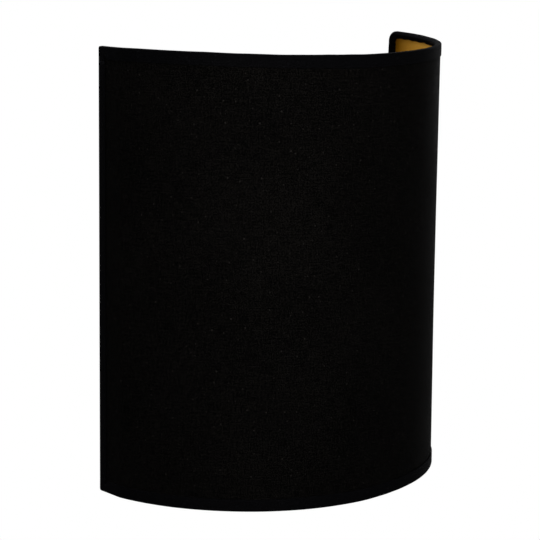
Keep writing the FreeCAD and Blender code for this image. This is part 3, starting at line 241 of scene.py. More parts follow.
def ranged(tree, amount, low, high, to_low, to_high):
    """Amount mapped from one range to another and held inside it."""
    made = add(tree, "ShaderNodeMapRange")
    link(tree, amount, made.inputs["Value"])
    made.inputs["From Min"].default_value = low
    made.inputs["From Max"].default_value = high
    made.inputs["To Min"].default_value = to_low
    made.inputs["To Max"].default_value = to_high
    return made.outputs["Result"]


def blended(tree, amount, low, high):
    """Colour between two colours."""
    made = add(tree, "ShaderNodeMix", data_type="RGBA")
    link(tree, amount, made.inputs["Factor"])
    for socket, colour in (("A", low), ("B", high)):
        target = next(s for s in made.inputs if s.name == socket and s.type == "RGBA")
        if hasattr(colour, "is_output"):
            tree.links.new(colour, target)
        else:
            target.default_value = (*colour, 1)
    return next(s for s in made.outputs if s.type == "RGBA")


def bumped(tree, shader, height, depth, strength=1.0):
    """Relief on a shader, depth in metres."""
    made = add(tree, "ShaderNodeBump")
    made.inputs["Strength"].default_value = strength
    made.inputs["Distance"].default_value = depth
    link(tree, height, made.inputs["Height"])
    link(tree, made.outputs["Normal"], shader.inputs["Normal"])


def cloth_material(name, dark, light, thread, roughness, slub=1.0, **sockets):
    """Plain weave in black cotton: threads that cross, slubs along them, lint between them.

    thread is the pitch of the weave in metres, and slub how marked the slubs are.
    """
    slub_share, lint_share, patch_share = 0.27 * slub, 1.3, 0.16
    slub_scale, lint_scale, patch_scale, fibre_scale, wander_scale = 1000.0, 1300.0, 14.0, 640.0, 90.0
    material, shader = new_material(name, dark, roughness, **sockets)
    tree = material.node_tree
    cloth = add(tree, "ShaderNodeUVMap", uv_map="cloth").outputs["UV"]
    split = add(tree, "ShaderNodeSeparateXYZ")
    link(tree, cloth, split.inputs[0])
    # The threads wander by up to 1.6 pitches
    wander = maths(tree, "MULTIPLY", grain(tree, cloth, wander_scale), thread * 1.6)
    across = maths(tree, "ADD", split.outputs["X"], wander)
    upward = maths(tree, "SUBTRACT", split.outputs["Y"], wander)
    warp_thread = maths(tree, "SINE", maths(tree, "MULTIPLY", across, math.pi / thread))
    weft_thread = maths(tree, "SINE", maths(tree, "MULTIPLY", upward, math.pi / thread))
    crossing = maths(tree, "MULTIPLY", warp_thread, weft_thread)
    # Slubs: long thin variations along each set of threads
    upright_slub = grain(tree, stretched(tree, cloth, (1.4, 0.12, 1)), slub_scale, 1.0)
    level_slub = grain(tree, stretched(tree, cloth, (0.10, 1.2, 1)), slub_scale, 1.0)
    slubs = maths(tree, "ADD", upright_slub, level_slub)
    lint = grain(tree, cloth, lint_scale, 2.0, 0.6)
    patch = grain(tree, cloth, patch_scale, 3.0, 0.55)
    tone = maths(tree, "MULTIPLY", slubs, slub_share)
    tone = maths(tree, "ADD", tone, maths(tree, "MULTIPLY", lint, lint_share))
    tone = maths(tree, "ADD", tone, maths(tree, "MULTIPLY", patch, patch_share))
    middle = slub_share + (lint_share + patch_share) / 2
    colour = blended(tree, ranged(tree, tone, middle - 0.07, middle + 0.13, 0.0, 1.0), dark, light)
    # Single pale fibres caught in the weave
    fibre = grain(tree, stretched(tree, cloth, (1.0, 0.8, 1)), fibre_scale, 0.0)
    pale = tuple(2.5 * c for c in light)
    colour = blended(tree, ranged(tree, fibre, 0.77, 0.84, 0.0, 1.0), colour, pale)
    link(tree, colour, shader.inputs["Base Color"])
    height = maths(tree, "MULTIPLY", crossing, 0.35)
    height = maths(tree, "ADD", height, maths(tree, "MULTIPLY", slubs, 0.4 * slub))
    height = maths(tree, "ADD", height, maths(tree, "MULTIPLY", lint, 0.5))
    bumped(tree, shader, height, 0.12 * MM, 0.9)
    gloss = ranged(tree, patch, 0.3, 0.7, roughness - 0.05, roughness + 0.06)
    link(tree, gloss, shader.inputs["Roughness"])
    return material


def worn_material(name, colour, roughness, metallic=0.0, scale=120.0, depth=0.02 * MM,
                  tint=None, **sockets):
    """Hard surface with slight colour clouds, uneven gloss and a fine relief."""
    material, shader = new_material(name, colour, roughness, metallic, **sockets)
    tree = material.node_tree
    spot = add(tree, "ShaderNodeTexCoord").outputs["Object"]
    cloud = grain(tree, spot, scale, 4.0, 0.6)
    fine = grain(tree, spot, scale * 14, 2.0, 0.6)
    other = tint or tuple(c * 0.84 for c in colour)
    shade = blended(tree, ranged(tree, cloud, 0.35, 0.7, 0.0, 1.0), colour, other)
    gloss = ranged(tree, cloud, 0.3, 0.7, roughness * 0.94, min(1.0, roughness * 1.06))
    link(tree, shade, shader.inputs["Base Color"])
    link(tree, gloss, shader.inputs["Roughness"])
    bumped(tree, shader, fine, depth, 0.6)
    return material


COTTON = cloth_material(
    "black_cotton", (0.0002, 0.0002, 0.0002), (0.0044, 0.0041, 0.0039), 0.30 * MM, 0.6,
    Specular_IOR_Level=0.0015,
)
TAPE_CLOTH = cloth_material(
    "black_tape", (0.0009, 0.0009, 0.0011), (0.0030, 0.0030, 0.0036), 0.22 * MM, 0.56, slub=0.5,
    Specular_IOR_Level=0.0016,
)


def laminate_material():
    """Gold film on the inside: satin, faintly streaked, with painted shade darkening it along the back
    edges.
    """
    material, shader = new_material("gold_laminate", (0.31, 0.155, 0.015), 0.5, Specular_IOR_Level=0.02)
    tree = material.node_tree
    cloth = add(tree, "ShaderNodeUVMap", uv_map="cloth").outputs["UV"]
    split = add(tree, "ShaderNodeSeparateXYZ")
    link(tree, cloth, split.inputs[0])
    streak = grain(tree, stretched(tree, cloth, (0.25, 1.0, 1)), 700.0, 2.0, 0.6)
    cloud = grain(tree, cloth, 22.0, 3.0, 0.55)
    tone = maths(tree, "MULTIPLY", streak, 0.25)
    tone = maths(tree, "ADD", tone, maths(tree, "MULTIPLY", cloud, 0.75))
    share = ranged(tree, tone, 0.35, 0.65, 0.0, 1.0)
    gold = blended(tree, share, (0.285, 0.143, 0.015), (0.350, 0.180, 0.022))
    # Painted shade: the gold darkens towards the back edges, from 20 mm to 8 mm before each end of the
    # run
    near = maths(tree, "ABSOLUTE", split.outputs["X"])
    painted_edge_shade = ranged(tree, near, HALF_RUN - 20 * MM, HALF_RUN - 8 * MM, 0.0, 1.0)
    colour = blended(tree, painted_edge_shade, gold, (0.125, 0.054, 0.0003))
    link(tree, colour, shader.inputs["Base Color"])
    link(tree, ranged(tree, tone, 0.35, 0.65, 0.44, 0.56), shader.inputs["Roughness"])
    bumped(tree, shader, tone, 0.03 * MM, 0.4)
    return material


GOLD = laminate_material()
WIRE = worn_material("black_coated_wire", (0.03, 0.03, 0.03), 0.38, 0.0, 60.0, Specular_IOR_Level=0.4)
PAINT = worn_material(
    "matt_black_paint", (0.012, 0.012, 0.013), 0.5, 0.0, 150.0, 0.04 * MM, Specular_IOR_Level=0.4,
)
ZINC = worn_material("zinc_plate", (0.62, 0.63, 0.64), 0.34, 1.0, 90.0, tint=(0.50, 0.51, 0.50))
BLACK_STEEL = worn_material("blackened_steel", (0.03, 0.03, 0.032), 0.36, 0.6, 110.0)
BLOCK = worn_material("block_polyamide", (0.78, 0.77, 0.72), 0.45, 0.0, 70.0, tint=(0.70, 0.69, 0.63))
HOLDER = worn_material("moulded_black", (0.010, 0.010, 0.011), 0.34, 0.0, 80.0, Specular_IOR_Level=0.45)
CERAMIC = worn_material("glazed_carrier", (0.80, 0.78, 0.72), 0.28, 0.0, 50.0)
BRASS = worn_material("brass", (0.78, 0.56, 0.22), 0.3, 1.0, 120.0)
RUBBER = worn_material("bush_rubber_black", (0.014, 0.014, 0.014), 0.72, 0.0, 160.0)
BROWN = worn_material("brown_insulation", (0.16, 0.06, 0.025), 0.42, 0.0, 200.0)
BLUE = worn_material("blue_insulation", (0.03, 0.12, 0.42), 0.42, 0.0, 200.0)
NICKEL = worn_material("nickel_cap", (0.66, 0.64, 0.60), 0.28, 1.0, 140.0)
SOLDER = worn_material("solder", (0.48, 0.48, 0.50), 0.4, 1.0, 300.0)
LAMP_BLACK = worn_material("lamp_black_glass", (0.012, 0.011, 0.014), 0.2, 0.0, 100.0)
PHOSPHOR = worn_material("phosphor_coat", (0.86, 0.58, 0.12), 0.6, 0.0, 240.0)


def glass_material():
    """Clear soda glass with faint waves."""
    material, shader = new_material("clear_glass", (0.97, 0.98, 0.97), 0.03,
                                    IOR=1.5, Transmission_Weight=1.0)
    tree = material.node_tree
    spot = add(tree, "ShaderNodeTexCoord").outputs["Object"]
    bumped(tree, shader, grain(tree, spot, 45.0), 0.2 * MM, 0.25)
    haze = ranged(tree, grain(tree, spot, 160.0, 3.0), 0.3, 0.8, 0.015, 0.06)
    link(tree, haze, shader.inputs["Roughness"])
    return material


GLASS = glass_material()

DRESS = {
    "frame_wire": WIRE, "plate_paint": PAINT, "zinc_steel": ZINC, "black_screw": BLACK_STEEL,
    "block_plastic": BLOCK, "holder_plastic": HOLDER, "carrier_ceramic": CERAMIC,
    "contact_brass": BRASS, "bush_rubber": RUBBER, "lead_brown": BROWN, "lead_blue": BLUE,
    "lamp_clear": GLASS, "lamp_metal": NICKEL, "lamp_solder": SOLDER, "lamp_black": LAMP_BLACK,
    "lamp_phosphor": PHOSPHOR, "shade_cotton": COTTON, "shade_gold": GOLD, "trim_tape": TAPE_CLOTH,
}
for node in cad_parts:
    for holder in bpy.data.objects[node].material_slots:
        holder.material = DRESS[holder.material.name.split(".")[0]]


# Shade

STATION = 2 * MM
WALL_END = HALF_RUN - TAPE_OUT
# Stations near a wall end, closer together because the corner is rounded there
TIP = [0.0, 0.15 * MM, 0.5 * MM, 1.1 * MM, 2.0 * MM, 3.2 * MM, 4.6 * MM]
TIP_REACH = 6.4 * MM
WALL_STEP = 6 * MM
WAIST = 0.2 * MM
UNEVEN = 0.1 * MM
UNEVEN_SEED = 3.1


def ripple(run, height):
    """Slow unevenness of the wall, whose two layers are glued together and share it."""
    return UNEVEN * noise.noise(Vector((run * 22, height * 17, UNEVEN_SEED)))


def draw_in(run, height):
    """How far the wall leans inwards between its two rings."""
    waist = 1 - (height / RIM) ** 2
    return WAIST * max(0.0, waist) * math.cos(math.pi / 2 * run / HALF_RUN)


# The rings aren't quite flat: millimetres above the drawn height against the share of the half run
TOP_WARP = (
    (-1.00, 1.05), (-0.80, 1.60), (-0.60, 1.45), (-0.46, 0.85), (-0.32, 0.22), (-0.20, -0.08),
    (-0.12, -0.42), (-0.04, -0.78), (0.03, -0.84), (0.10, -0.80), (0.25, -0.65), (0.45, -0.55),
    (0.60, -0.45), (0.72, -0.10), (0.85, 0.30), (1.00, 0.95),
)
FOOT_WARP = (
    (-1.00, -0.10), (-0.60, -0.20), (-0.30, -0.20), (-0.05, 0.0), (0.07, 0.45), (0.13, 0.70),
    (0.22, 0.85), (0.45, 0.90), (0.60, 0.60), (1.00, 0.0),
)


def eased(part):
    """Smooth step from 0 to 1."""
    part = max(0.0, min(1.0, part))
    return part * part * (3 - 2 * part)


def warp(run, side):
    """Unevenness of a ring at a run, smooth between the measured places."""
    table = TOP_WARP if side > 0 else FOOT_WARP
    along = max(-1.0, min(1.0, run / HALF_RUN))
    for (low, first), (high, second) in zip(table, table[1:]):
        if along <= high:
            return (first + (second - first) * eased((along - low) / (high - low))) * MM
    return table[-1][1] * MM


SWELL_RUN = 116 * MM
SWELL_WIDTH = 42 * MM
SWELL_EVEN = 0.15 * MM
SWELL_LOW = 0.85 * MM
LEAN_RUN = 55 * MM
LEAN_OUT = 1.2 * MM
LEAN_FORWARD = 1.3 * MM


def wall_place(run, inset, height):
    """Point on the wall: the drawn plan, with the shade's own departures from it.

    Low on the right the wall stands out a little, and the top right back corner leans
    outwards and forwards.
    """
    flat, normal = plan(run, inset)
    low = max(0.0, -height / RIM)
    near = math.exp(-((run - SWELL_RUN) / SWELL_WIDTH) ** 2 / 2)
    out = (SWELL_EVEN + SWELL_LOW * low ** 1.5) * near
    lean = eased((run - HALF_RUN + LEAN_RUN) / LEAN_RUN) * max(0.0, height / RIM) ** 3
    flat += normal * out + lean * Vector((LEAN_OUT, -LEAN_FORWARD))
    return Vector((flat.x, flat.y, height))


def corner_drop(from_end, corner):
    """How far a rounded corner lies below the rim at a distance from the wall end."""
    near = max(0.0, corner - from_end)
    return corner - math.sqrt(max(0.0, corner ** 2 - near ** 2))


def wall_layer(name, outer, inner, node, material):
    """One layer of the shade's wall, from an outer to an inner inset."""
    rows, cloth = [], []
    runs = spread(-WALL_END + TIP_REACH, WALL_END - TIP_REACH, STATION)
    runs = [x - WALL_END for x in TIP] + runs + [WALL_END - x for x in TIP[::-1]]
    for run in runs:
        corner = LEFT_CORNER if run < 0 else RIGHT_CORNER
        reach = COVER_EDGE - corner_drop(WALL_END - abs(run), max(0.1 * MM, corner - TAPE_OUT))
        levels = [height * reach / COVER_EDGE for height in spread(-COVER_EDGE, COVER_EDGE, WALL_STEP)]
        row, flat = [], []
        for inset, order in ((outer, levels), (inner, levels[::-1])):
            for height in order:
                sag = draw_in(run, height) + ripple(run, height)
                point = wall_place(run, inset + sag, height)
                point.z += warp(run, height) * (height / RIM) ** 2
                row.append(point)
                flat.append((run, height))
        rows.append(row)
        cloth.append(flat)
    piece = cloth_shell(name, rows, cloth, material)
    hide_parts(node)


wall_layer("cotton_cover", 0.0, COVER_WALL, "shade_cover", COTTON)
wall_layer("gold_liner", LINER_FACE, LINER_BACK, "shade_liner", GOLD)


def arc(centre, radius, first, last, count):
    """Points on an arc, angles in degrees."""
    return [
        (centre[0] + radius * math.cos(math.radians(first + (last - first) * i / (count - 1))),
         centre[1] + radius * math.sin(math.radians(first + (last - first) * i / (count - 1))))
        for i in range(count)
    ]


# Rounding of a tape where it turns over the edge, squareness of its inner border at a corner,
# and width of the strip at each border where its outer face thins
SHOULDER = 0.9 * MM
SQUARENESS = 2.6
HEM = 0.3 * MM
# How far the tapes' two borders waver, and how much the crown of a rim tape swells
RIM_OUTER_WAVER = 0.22 * MM
RIM_INNER_WAVER = 0.55 * MM
EDGE_OUTER_WAVER = 0.18 * MM
EDGE_INNER_WAVER = 0.30 * MM
CROWN_SWELL = 0.06 * MM
CROWN_REACH = 6 * MM


def fold_section(outside, inside, wire_low=WIRE_BACK):
    """Closed section of a folded tape as (inset, depth back from the edge) pairs.

    It runs along the outer face to the edge, over the edge and the wire, along the lining,
    and back on the tape's other face. Where the wire cuts a corner it lies further from the
    edge, and the fold reaches down to it.
    """
    wire = (WIRE_IN, WIRE_BACK)
    low = (WIRE_IN, wire_low)
    wrap = WIRE_R + TAPE_EASE
    foot = wire_low + wrap
    face = -TAPE_OUT
    lining = LINER_BACK + TAPE_EASE
    crest = (face + SHOULDER, SHOULDER)
    outer = [(face + 0.1 * MM, outside), (face, outside - HEM), (face - 0.03 * MM, outside * 0.55),
             (face, SHOULDER * 1.9)]
    outer += arc(crest, SHOULDER, 180, 270, 6)
    outer += arc(wire, wrap + TAPE, 270, 360, 7)
    outer += arc(low, wrap + TAPE, 0, 65, 6)
    outer += [(lining + TAPE + 0.12 * MM, foot + TAPE),
              (lining + TAPE, max(inside - HEM, foot + TAPE + 0.2 * MM))]
    inner = [(lining, max(inside, foot + TAPE + 0.4 * MM)), (lining, foot + 0.1 * MM)]
    inner += arc(low, wrap, 65, 0, 5)
    inner += arc(wire, wrap, 360, 270, 6)
    inner += arc(crest, SHOULDER - TAPE, 270, 180, 4)
    inner += [(-TAPE_EASE, SHOULDER * 1.9), (-TAPE_EASE, outside * 0.55), (-TAPE_EASE, outside)]
    return outer + inner


def corner_path(turn, edge, corner):
    """Distance from the fan's pivot out to a path with a rounded corner, along a ray.

    turn 0 points at the rim and 90 degrees at the back edge; the path runs at a distance
    inside both edges.
    """
    up, aside = math.cos(turn), math.sin(turn)
    reach = FAN - edge
    bend = reach - corner
    if up > 1e-9 and reach / up * aside <= bend:
        return reach / up
    if aside > 1e-9 and reach / aside * up <= bend:
        return reach / aside
    middle = bend * (up + aside)
    return middle + math.sqrt(max(0.0, middle ** 2 - 2 * bend ** 2 + corner ** 2))


def tape_path(corner_left, corner_right):
    """Stations round one rim: (edge run, edge drop, aside, turn, wire's depth, run along the tape).

    The straight part has turn 0; at both back corners the tape fans round to the back edge.
    """
    corners = []
    for side, corner in ((-1, corner_left), (1, corner_right)):
        part = []
        for degrees in range(90, 0, -5):
            turn = math.radians(degrees)
            out = corner_path(turn, 0.0, corner)
            wire = corner_path(turn, WIRE_BACK, WIRE_BEND)
            run = side * (HALF_RUN - FAN + out * math.sin(turn))
            part.append((run, FAN - out * math.cos(turn), side, turn, out - wire))
        corners.append(part)
    runs = spread(-HALF_RUN + FAN, HALF_RUN - FAN, STATION)
    straight = [(run, 0.0, 0, 0.0, WIRE_BACK) for run in runs]
    return corners[0] + straight + corners[1][::-1]


def inner_border(turn):
    """Distance from the fan's pivot out to the tape's inner border, nearly square at the corner."""
    upright = math.cos(turn) / (FAN - RIM_INSIDE)
    level = math.sin(turn) / (FAN - EDGE_INSIDE)
    return (upright ** SQUARENESS + level ** SQUARENESS) ** (-1 / SQUARENESS)


def rim_tape(name, node, side):
    """Folded tape round the top (side 1) or the foot (side -1) of the shade, wrapped round its ends."""
    rows, cloth = [], []
    stations = tape_path(LEFT_CORNER, RIGHT_CORNER)
    travelled = 0.0
    before = stations[0]
    for station in stations:
        run, drop, aside, turn, wire_low = station
        travelled += math.hypot(run - before[0], drop - before[1])
        before = station
        part = turn / (math.pi / 2)
        outer_slip = RIM_OUTER_WAVER * noise.noise(Vector((travelled * 35, side * 4.0, 0.5)))
        inner_slip = RIM_INNER_WAVER * noise.noise(Vector((travelled * 190, side * 9.0, 2.5)))
        bulge = CROWN_SWELL * noise.noise(Vector((travelled * 50, side * 2.0, 7.5)))
        outside = RIM_OUTSIDE + (EDGE_OUTSIDE - RIM_OUTSIDE) * part + outer_slip
        out = math.hypot(FAN - drop, abs(run) - HALF_RUN + FAN) if aside else FAN
        inside = out - inner_border(turn) + inner_slip
        row, flat = [], []
        total = 0.0
        section = fold_section(outside, inside, wire_low)
        last = section[0]
        for inset, back in section:
            total += math.hypot(inset - last[0], back - last[1])
            last = (inset, back)
            crown = abs(bulge) * max(0.0, 1 - back / CROWN_REACH)
            depth = back + crown
            level = side * (RIM - drop - depth * math.cos(turn))
            point = wall_place(run - aside * depth * math.sin(turn), inset, level)
            point.z += warp(run, side)
            row.append(point)
            flat.append((travelled, total))
        rows.append(row)
        cloth.append(flat)
    piece = cloth_shell(name, rows, cloth, TAPE_CLOTH)
    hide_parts(node)


rim_tape("top_tape", "top_trim", 1)
rim_tape("foot_tape", "bottom_trim", -1)


def tube(edit, points, radius, segments=14):
    """Round bar through points, capped at both ends; radius is one number or a list of them."""
    rings = []
    side = None
    for i, point in enumerate(points):
        ahead = (points[min(i + 1, len(points) - 1)] - points[max(i - 1, 0)]).normalized()
        if side is None:
            side = ahead.orthogonal().normalized()
        side = (side - ahead * side.dot(ahead)).normalized()
        up = ahead.cross(side)
        size = radius[i] if isinstance(radius, list) else radius
        rings.append([edit.verts.new(point + size * (math.cos(TAU * k / segments) * side
                                                     + math.sin(TAU * k / segments) * up))
                      for k in range(segments)])
    for low, high in zip(rings, rings[1:]):
        for k in range(segments):
            m = (k + 1) % segments
            edit.faces.new((low[k], low[m], high[m], high[k]))
    edit.faces.new(rings[0][::-1])
    edit.faces.new(rings[-1])


def nugget(edit, centre, axis, reach, radius):
    """Lens-shaped bead of weld about a centre, longest along an axis."""
    axis = Vector(axis).normalized()
    count = 9
    points = [Vector(centre) + axis * reach * math.cos(math.pi * i / (count - 1)) for i in range(count)]
    sizes = [max(0.05 * MM, radius * math.sin(math.pi * i / (count - 1))) for i in range(count)]
    tube(edit, points, sizes, 12)


RING_END = HALF_RUN - WIRE_BACK - WIRE_BEND - 0.05 * MM


def ring_wire(name, node, side):
    """Half ring of wire inside a rim tape."""
    edit = bmesh.new()
    points = []
    for run in spread(-RING_END, RING_END, STATION):
        point = wall_place(run, WIRE_IN, side * (RIM - WIRE_BACK))
        point.z += warp(run, side)
        points.append(point)
    tube(edit, points, WIRE_R)
    piece = finish_mesh(name, edit, "shade", WIRE)
    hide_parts(node)


ring_wire("top_ring_wire", "top_ring", 1)
ring_wire("foot_ring_wire", "bottom_ring", -1)

UPPER_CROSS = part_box("upper_cross_wire")
LOWER_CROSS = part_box("lower_cross_wire")
WELD_GAP = 0.02 * MM
WELD_REACH = 2.1 * MM
WELD_RADIUS = 0.75 * MM


def upright_wire(name, node, side):
    """Upright, bent forward at both ends, with the beads that hold the cross wires."""
    edit = bmesh.new()
    across = side * (HALF_WIDTH - WIRE_IN)
    bend_back, bend_height = WIRE_BACK + WIRE_BEND, RIM - WIRE_BACK - WIRE_BEND
    upper = []
    for degrees in range(0, 91, 9):
        turn = math.radians(degrees)
        upper.append((bend_back - WIRE_BEND * math.sin(turn), bend_height + WIRE_BEND * math.cos(turn)))
    # The straight part from the top down, without its ends, which the bends already have
    straight = [(WIRE_BACK, height) for height in spread(-bend_height, bend_height, 8 * MM)[-2:0:-1]]
    points = upper + straight + [(back, -height) for back, height in upper[::-1]]
    spots = []
    for back, height in points:
        spot = wall_place(side * (HALF_RUN - back), WIRE_IN, height)
        spot.z += warp(side * HALF_RUN, height) * abs(height / RIM) ** 3
        spots.append(spot)
    tube(edit, spots, WIRE_R)
    for low, high in (UPPER_CROSS, LOWER_CROSS):
        centre = (across, -(WIRE_BACK + WIRE_R + WELD_GAP), (low.z + high.z) / 2)
        nugget(edit, centre, (0, 0, 1), WELD_REACH, WELD_RADIUS)
    piece = finish_mesh(name, edit, "shade", WIRE)
    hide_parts(node)


upright_wire("left_upright_wire", "left_upright", -1)
upright_wire("right_upright_wire", "right_upright", 1)


def edge_tape(name, node, side):
    """Folded tape down the back edge of the shade, between the ends of the rim tapes."""
    rows, cloth = [], []
    reach = RIM - FAN - 0.05 * MM
    for height in spread(-reach, reach, 3 * MM):
        outer_slip = EDGE_OUTER_WAVER * noise.noise(Vector((height * 40, side * 5.0, 1.5)))
        inner_slip = EDGE_INNER_WAVER * noise.noise(Vector((height * 55, side * 3.0, 4.5)))
        row, flat = [], []
        total = 0.0
        section = fold_section(EDGE_OUTSIDE + outer_slip, EDGE_INSIDE + inner_slip)
        last = section[0]
        for inset, back in section:
            total += math.hypot(inset - last[0], back - last[1])
            last = (inset, back)
            point = wall_place(side * (HALF_RUN - back), inset, height)
            point.z += warp(side * HALF_RUN, height) * abs(height / reach) ** 3
            row.append(point)
            flat.append((height, total))
        rows.append(row)
        cloth.append(flat)
    piece = cloth_shell(name, rows, cloth, TAPE_CLOTH)
    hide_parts(node)


edge_tape("left_edge_tape", "left_edge_trim", -1)
edge_tape("right_edge_tape", "right_edge_trim", 1)


# Lamp cap and sleeve: one round thread, rolled in both

CAP_LOW, CAP_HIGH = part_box("lamp_screw_cap")
SLEEVE_LOW, SLEEVE_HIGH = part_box("thread_sleeve")
LAMP_AXIS = Vector(((CAP_LOW.x + CAP_HIGH.x) / 2, (CAP_LOW.y + CAP_HIGH.y) / 2, 0))
PITCH = 3.629 * MM
THREAD_DEPTH = 1.0 * MM
THREAD_STEP = 0.3 * MM
THREAD_START = 1.5 * MM
THREAD_END = 1.2 * MM
CAP_RADIUS = (CAP_HIGH.x - CAP_LOW.x) / 2
CAP_FOOT_RADIUS = 11.5 * MM
CAP_FOOT = 1.5 * MM
CAP_COLLAR = -4.6 * MM
CAP_SHEET = 0.3 * MM
SLEEVE_BORE = 13.5 * MM
SLEEVE_SHEET = 0.4 * MM
SLEEVE_FOOT = 2 * MM
SLEEVE_MOUTH = -5.2 * MM
ROUND_SEGMENTS = 72
SMALL_SEGMENTS = 48


def thread_wave(level, angle):
    """Rounded thread: 0 in the groove and 1 on the crest."""
    return 0.5 + 0.5 * math.cos(TAU * level / PITCH - angle)


def lamp_cap_shell():
    """Screw cap of the lamp: bevelled foot, rolled thread and a plain collar round the glass."""
    outer, inner = [], []
    groove = CAP_RADIUS - THREAD_DEPTH
    levels = [CAP_LOW.z, CAP_LOW.z + CAP_FOOT / 3, CAP_LOW.z + CAP_FOOT * 2 / 3]
    levels += spread(CAP_LOW.z + CAP_FOOT, CAP_HIGH.z, THREAD_STEP)
    for level in levels:
        foot = eased((level - CAP_LOW.z) / CAP_FOOT)
        rise = eased((level - CAP_LOW.z - CAP_FOOT) / THREAD_START)
        collar = eased((level - CAP_COLLAR) / THREAD_END)

        def reach(angle, level=level, foot=foot, rise=rise, collar=collar):
            base = CAP_FOOT_RADIUS + (groove - CAP_FOOT_RADIUS) * foot
            return base + THREAD_DEPTH * ((1 - collar) * rise * thread_wave(level, angle) + collar)

        def inside(angle, reach=reach):
            return reach(angle) - CAP_SHEET

        outer.append(ring_about(LAMP_AXIS, (0, 0, 1), reach, level, ROUND_SEGMENTS))
        inner.append(ring_about(LAMP_AXIS, (0, 0, 1), inside, level, ROUND_SEGMENTS))
    edit = bmesh.new()
    skin(edit, outer + inner[::-1], closed=True)
    piece = finish_mesh("rolled_lamp_cap", edit, "lamp", NICKEL)
    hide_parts("lamp_screw_cap")


def sleeve_shell():
    """Brass sleeve of the lampholder with the matching thread and plain ends."""
    outer, inner = [], []
    for level in spread(SLEEVE_LOW.z, SLEEVE_HIGH.z, THREAD_STEP):
        rise = eased((level - SLEEVE_LOW.z - SLEEVE_FOOT) / THREAD_START)
        mouth = eased((level - SLEEVE_MOUTH) / THREAD_END)

        def reach(angle, level=level, rise=rise, mouth=mouth):
            deep = 1 - thread_wave(level, angle)
            return SLEEVE_BORE - THREAD_DEPTH * deep * rise * (1 - mouth)

        def outside(angle, reach=reach):
            return reach(angle) + SLEEVE_SHEET

        inner.append(ring_about(LAMP_AXIS, (0, 0, 1), reach, level, ROUND_SEGMENTS))
        outer.append(ring_about(LAMP_AXIS, (0, 0, 1), outside, level, ROUND_SEGMENTS))
    edit = bmesh.new()
    skin(edit, outer + inner[::-1], closed=True)
    piece = finish_mesh("rolled_thread_sleeve", edit, "wall_fitting", BRASS)
    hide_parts("thread_sleeve")


def threaded_nipple():
    """Hollow nipple with its fine cut thread and a chamfer at both ends."""
    low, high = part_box("hollow_nipple")
    crest = (high.x - low.x) / 2
    centre = Vector(((low.x + high.x) / 2, (low.y + high.y) / 2, 0))
    bore, pitch, cut = 3.5 * MM, 1.0 * MM, 0.5 * MM
    step, chamfer = 0.16 * MM, 0.5 * MM
    outer, inner = [], []
    for level in spread(low.z, high.z, step):
        end = max(0.0, 1 - min(level - low.z, high.z - level) / chamfer)

        def reach(angle, level=level, end=end):
            groove = cut * (0.5 - 0.5 * math.cos(TAU * level / pitch - angle))
            return crest - max(groove, cut * end)

        outer.append(ring_about(centre, (0, 0, 1), reach, level, SMALL_SEGMENTS))
    for level in (high.z, low.z):
        inner.append(ring_about(centre, (0, 0, 1), bore, level, SMALL_SEGMENTS))
    edit = bmesh.new()
    skin(edit, outer + inner, closed=True)
    piece = finish_mesh("threaded_nipple", edit, "wall_fitting", ZINC)
    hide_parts("hollow_nipple")


lamp_cap_shell()
sleeve_shell()
threaded_nipple()


# Screws: pan heads with a cross recess, and cut threads

RECESS_DEPTH = 1.3 * MM
HEAD_ROUNDING = 0.9 * MM
CROWN = 0.25 * MM
# Depth of a cut thread as a share of its pitch
CUT_SHARE = 0.61
SCREW_SEGMENTS = 64
# Rings on a screw head, as shares of its radius
HEAD_RINGS = (0.06, 0.12, 0.18, 0.24, 0.30, 0.36, 0.42, 0.48, 0.54, 0.60, 0.67)


def ramp(room, width):
    """1 well inside a border, 0 well outside it, straight across a width between them."""
    return max(min(1.0, room / width + 0.5), 0.0)


def cross_recess(across, up, size):
    """Depth of a cross recess at a place on a screw head, 1 at its bottom."""
    half, length = 0.17 * size, 0.52 * size
    arms = []
    for first, second in ((across, up), (up, across)):
        arms.append(ramp(half - abs(first), 0.07 * size) * ramp(length - abs(second), 0.16 * size))
    return max(arms)


def screw(edit, base, axis, head, rise, shank, length, pitch, start=0.0):
    """One screw: the underside of its head lies on base, the head on the side of the axis."""

    def crown(radius):
        return rise - CROWN * (radius / head) ** 2

    def ring(radius, level):
        return ring_about(base, axis, radius, level, SCREW_SEGMENTS)

    up = Vector(axis).normalized()
    rings = [[Vector(base) + up * (crown(0) - RECESS_DEPTH)]]
    for part in HEAD_RINGS:
        radius = part * head

        def level(angle, radius=radius):
            turned = angle + start
            depth = cross_recess(radius * math.cos(turned), radius * math.sin(turned), head)
            return crown(radius) - RECESS_DEPTH * depth

        rings.append(ring(radius, level))
    edge = head - HEAD_ROUNDING
    for degrees in range(90, -1, -18):
        bend = math.radians(degrees)
        drop = HEAD_ROUNDING - HEAD_ROUNDING * math.sin(bend)
        rings.append(ring(edge + HEAD_ROUNDING * math.cos(bend), crown(edge) - drop))
    rings.append(ring(head, 0.0))
    rings.append(ring(shank, 0.0))
    cut = CUT_SHARE * pitch
    for depth in spread(0.3 * MM, length - 0.35 * MM, pitch / 5):
        fade = eased(depth / (2 * pitch)) * eased((length - depth) / pitch)

        def reach(angle, depth=depth, fade=fade):
            return shank - cut * fade * (0.5 - 0.5 * math.cos(TAU * depth / pitch - angle))

        rings.append(ring(reach, -depth))
    rings.append(ring(shank - cut, -length))
    rings.append([Vector(base) - up * length])
    skin(edit, rings)


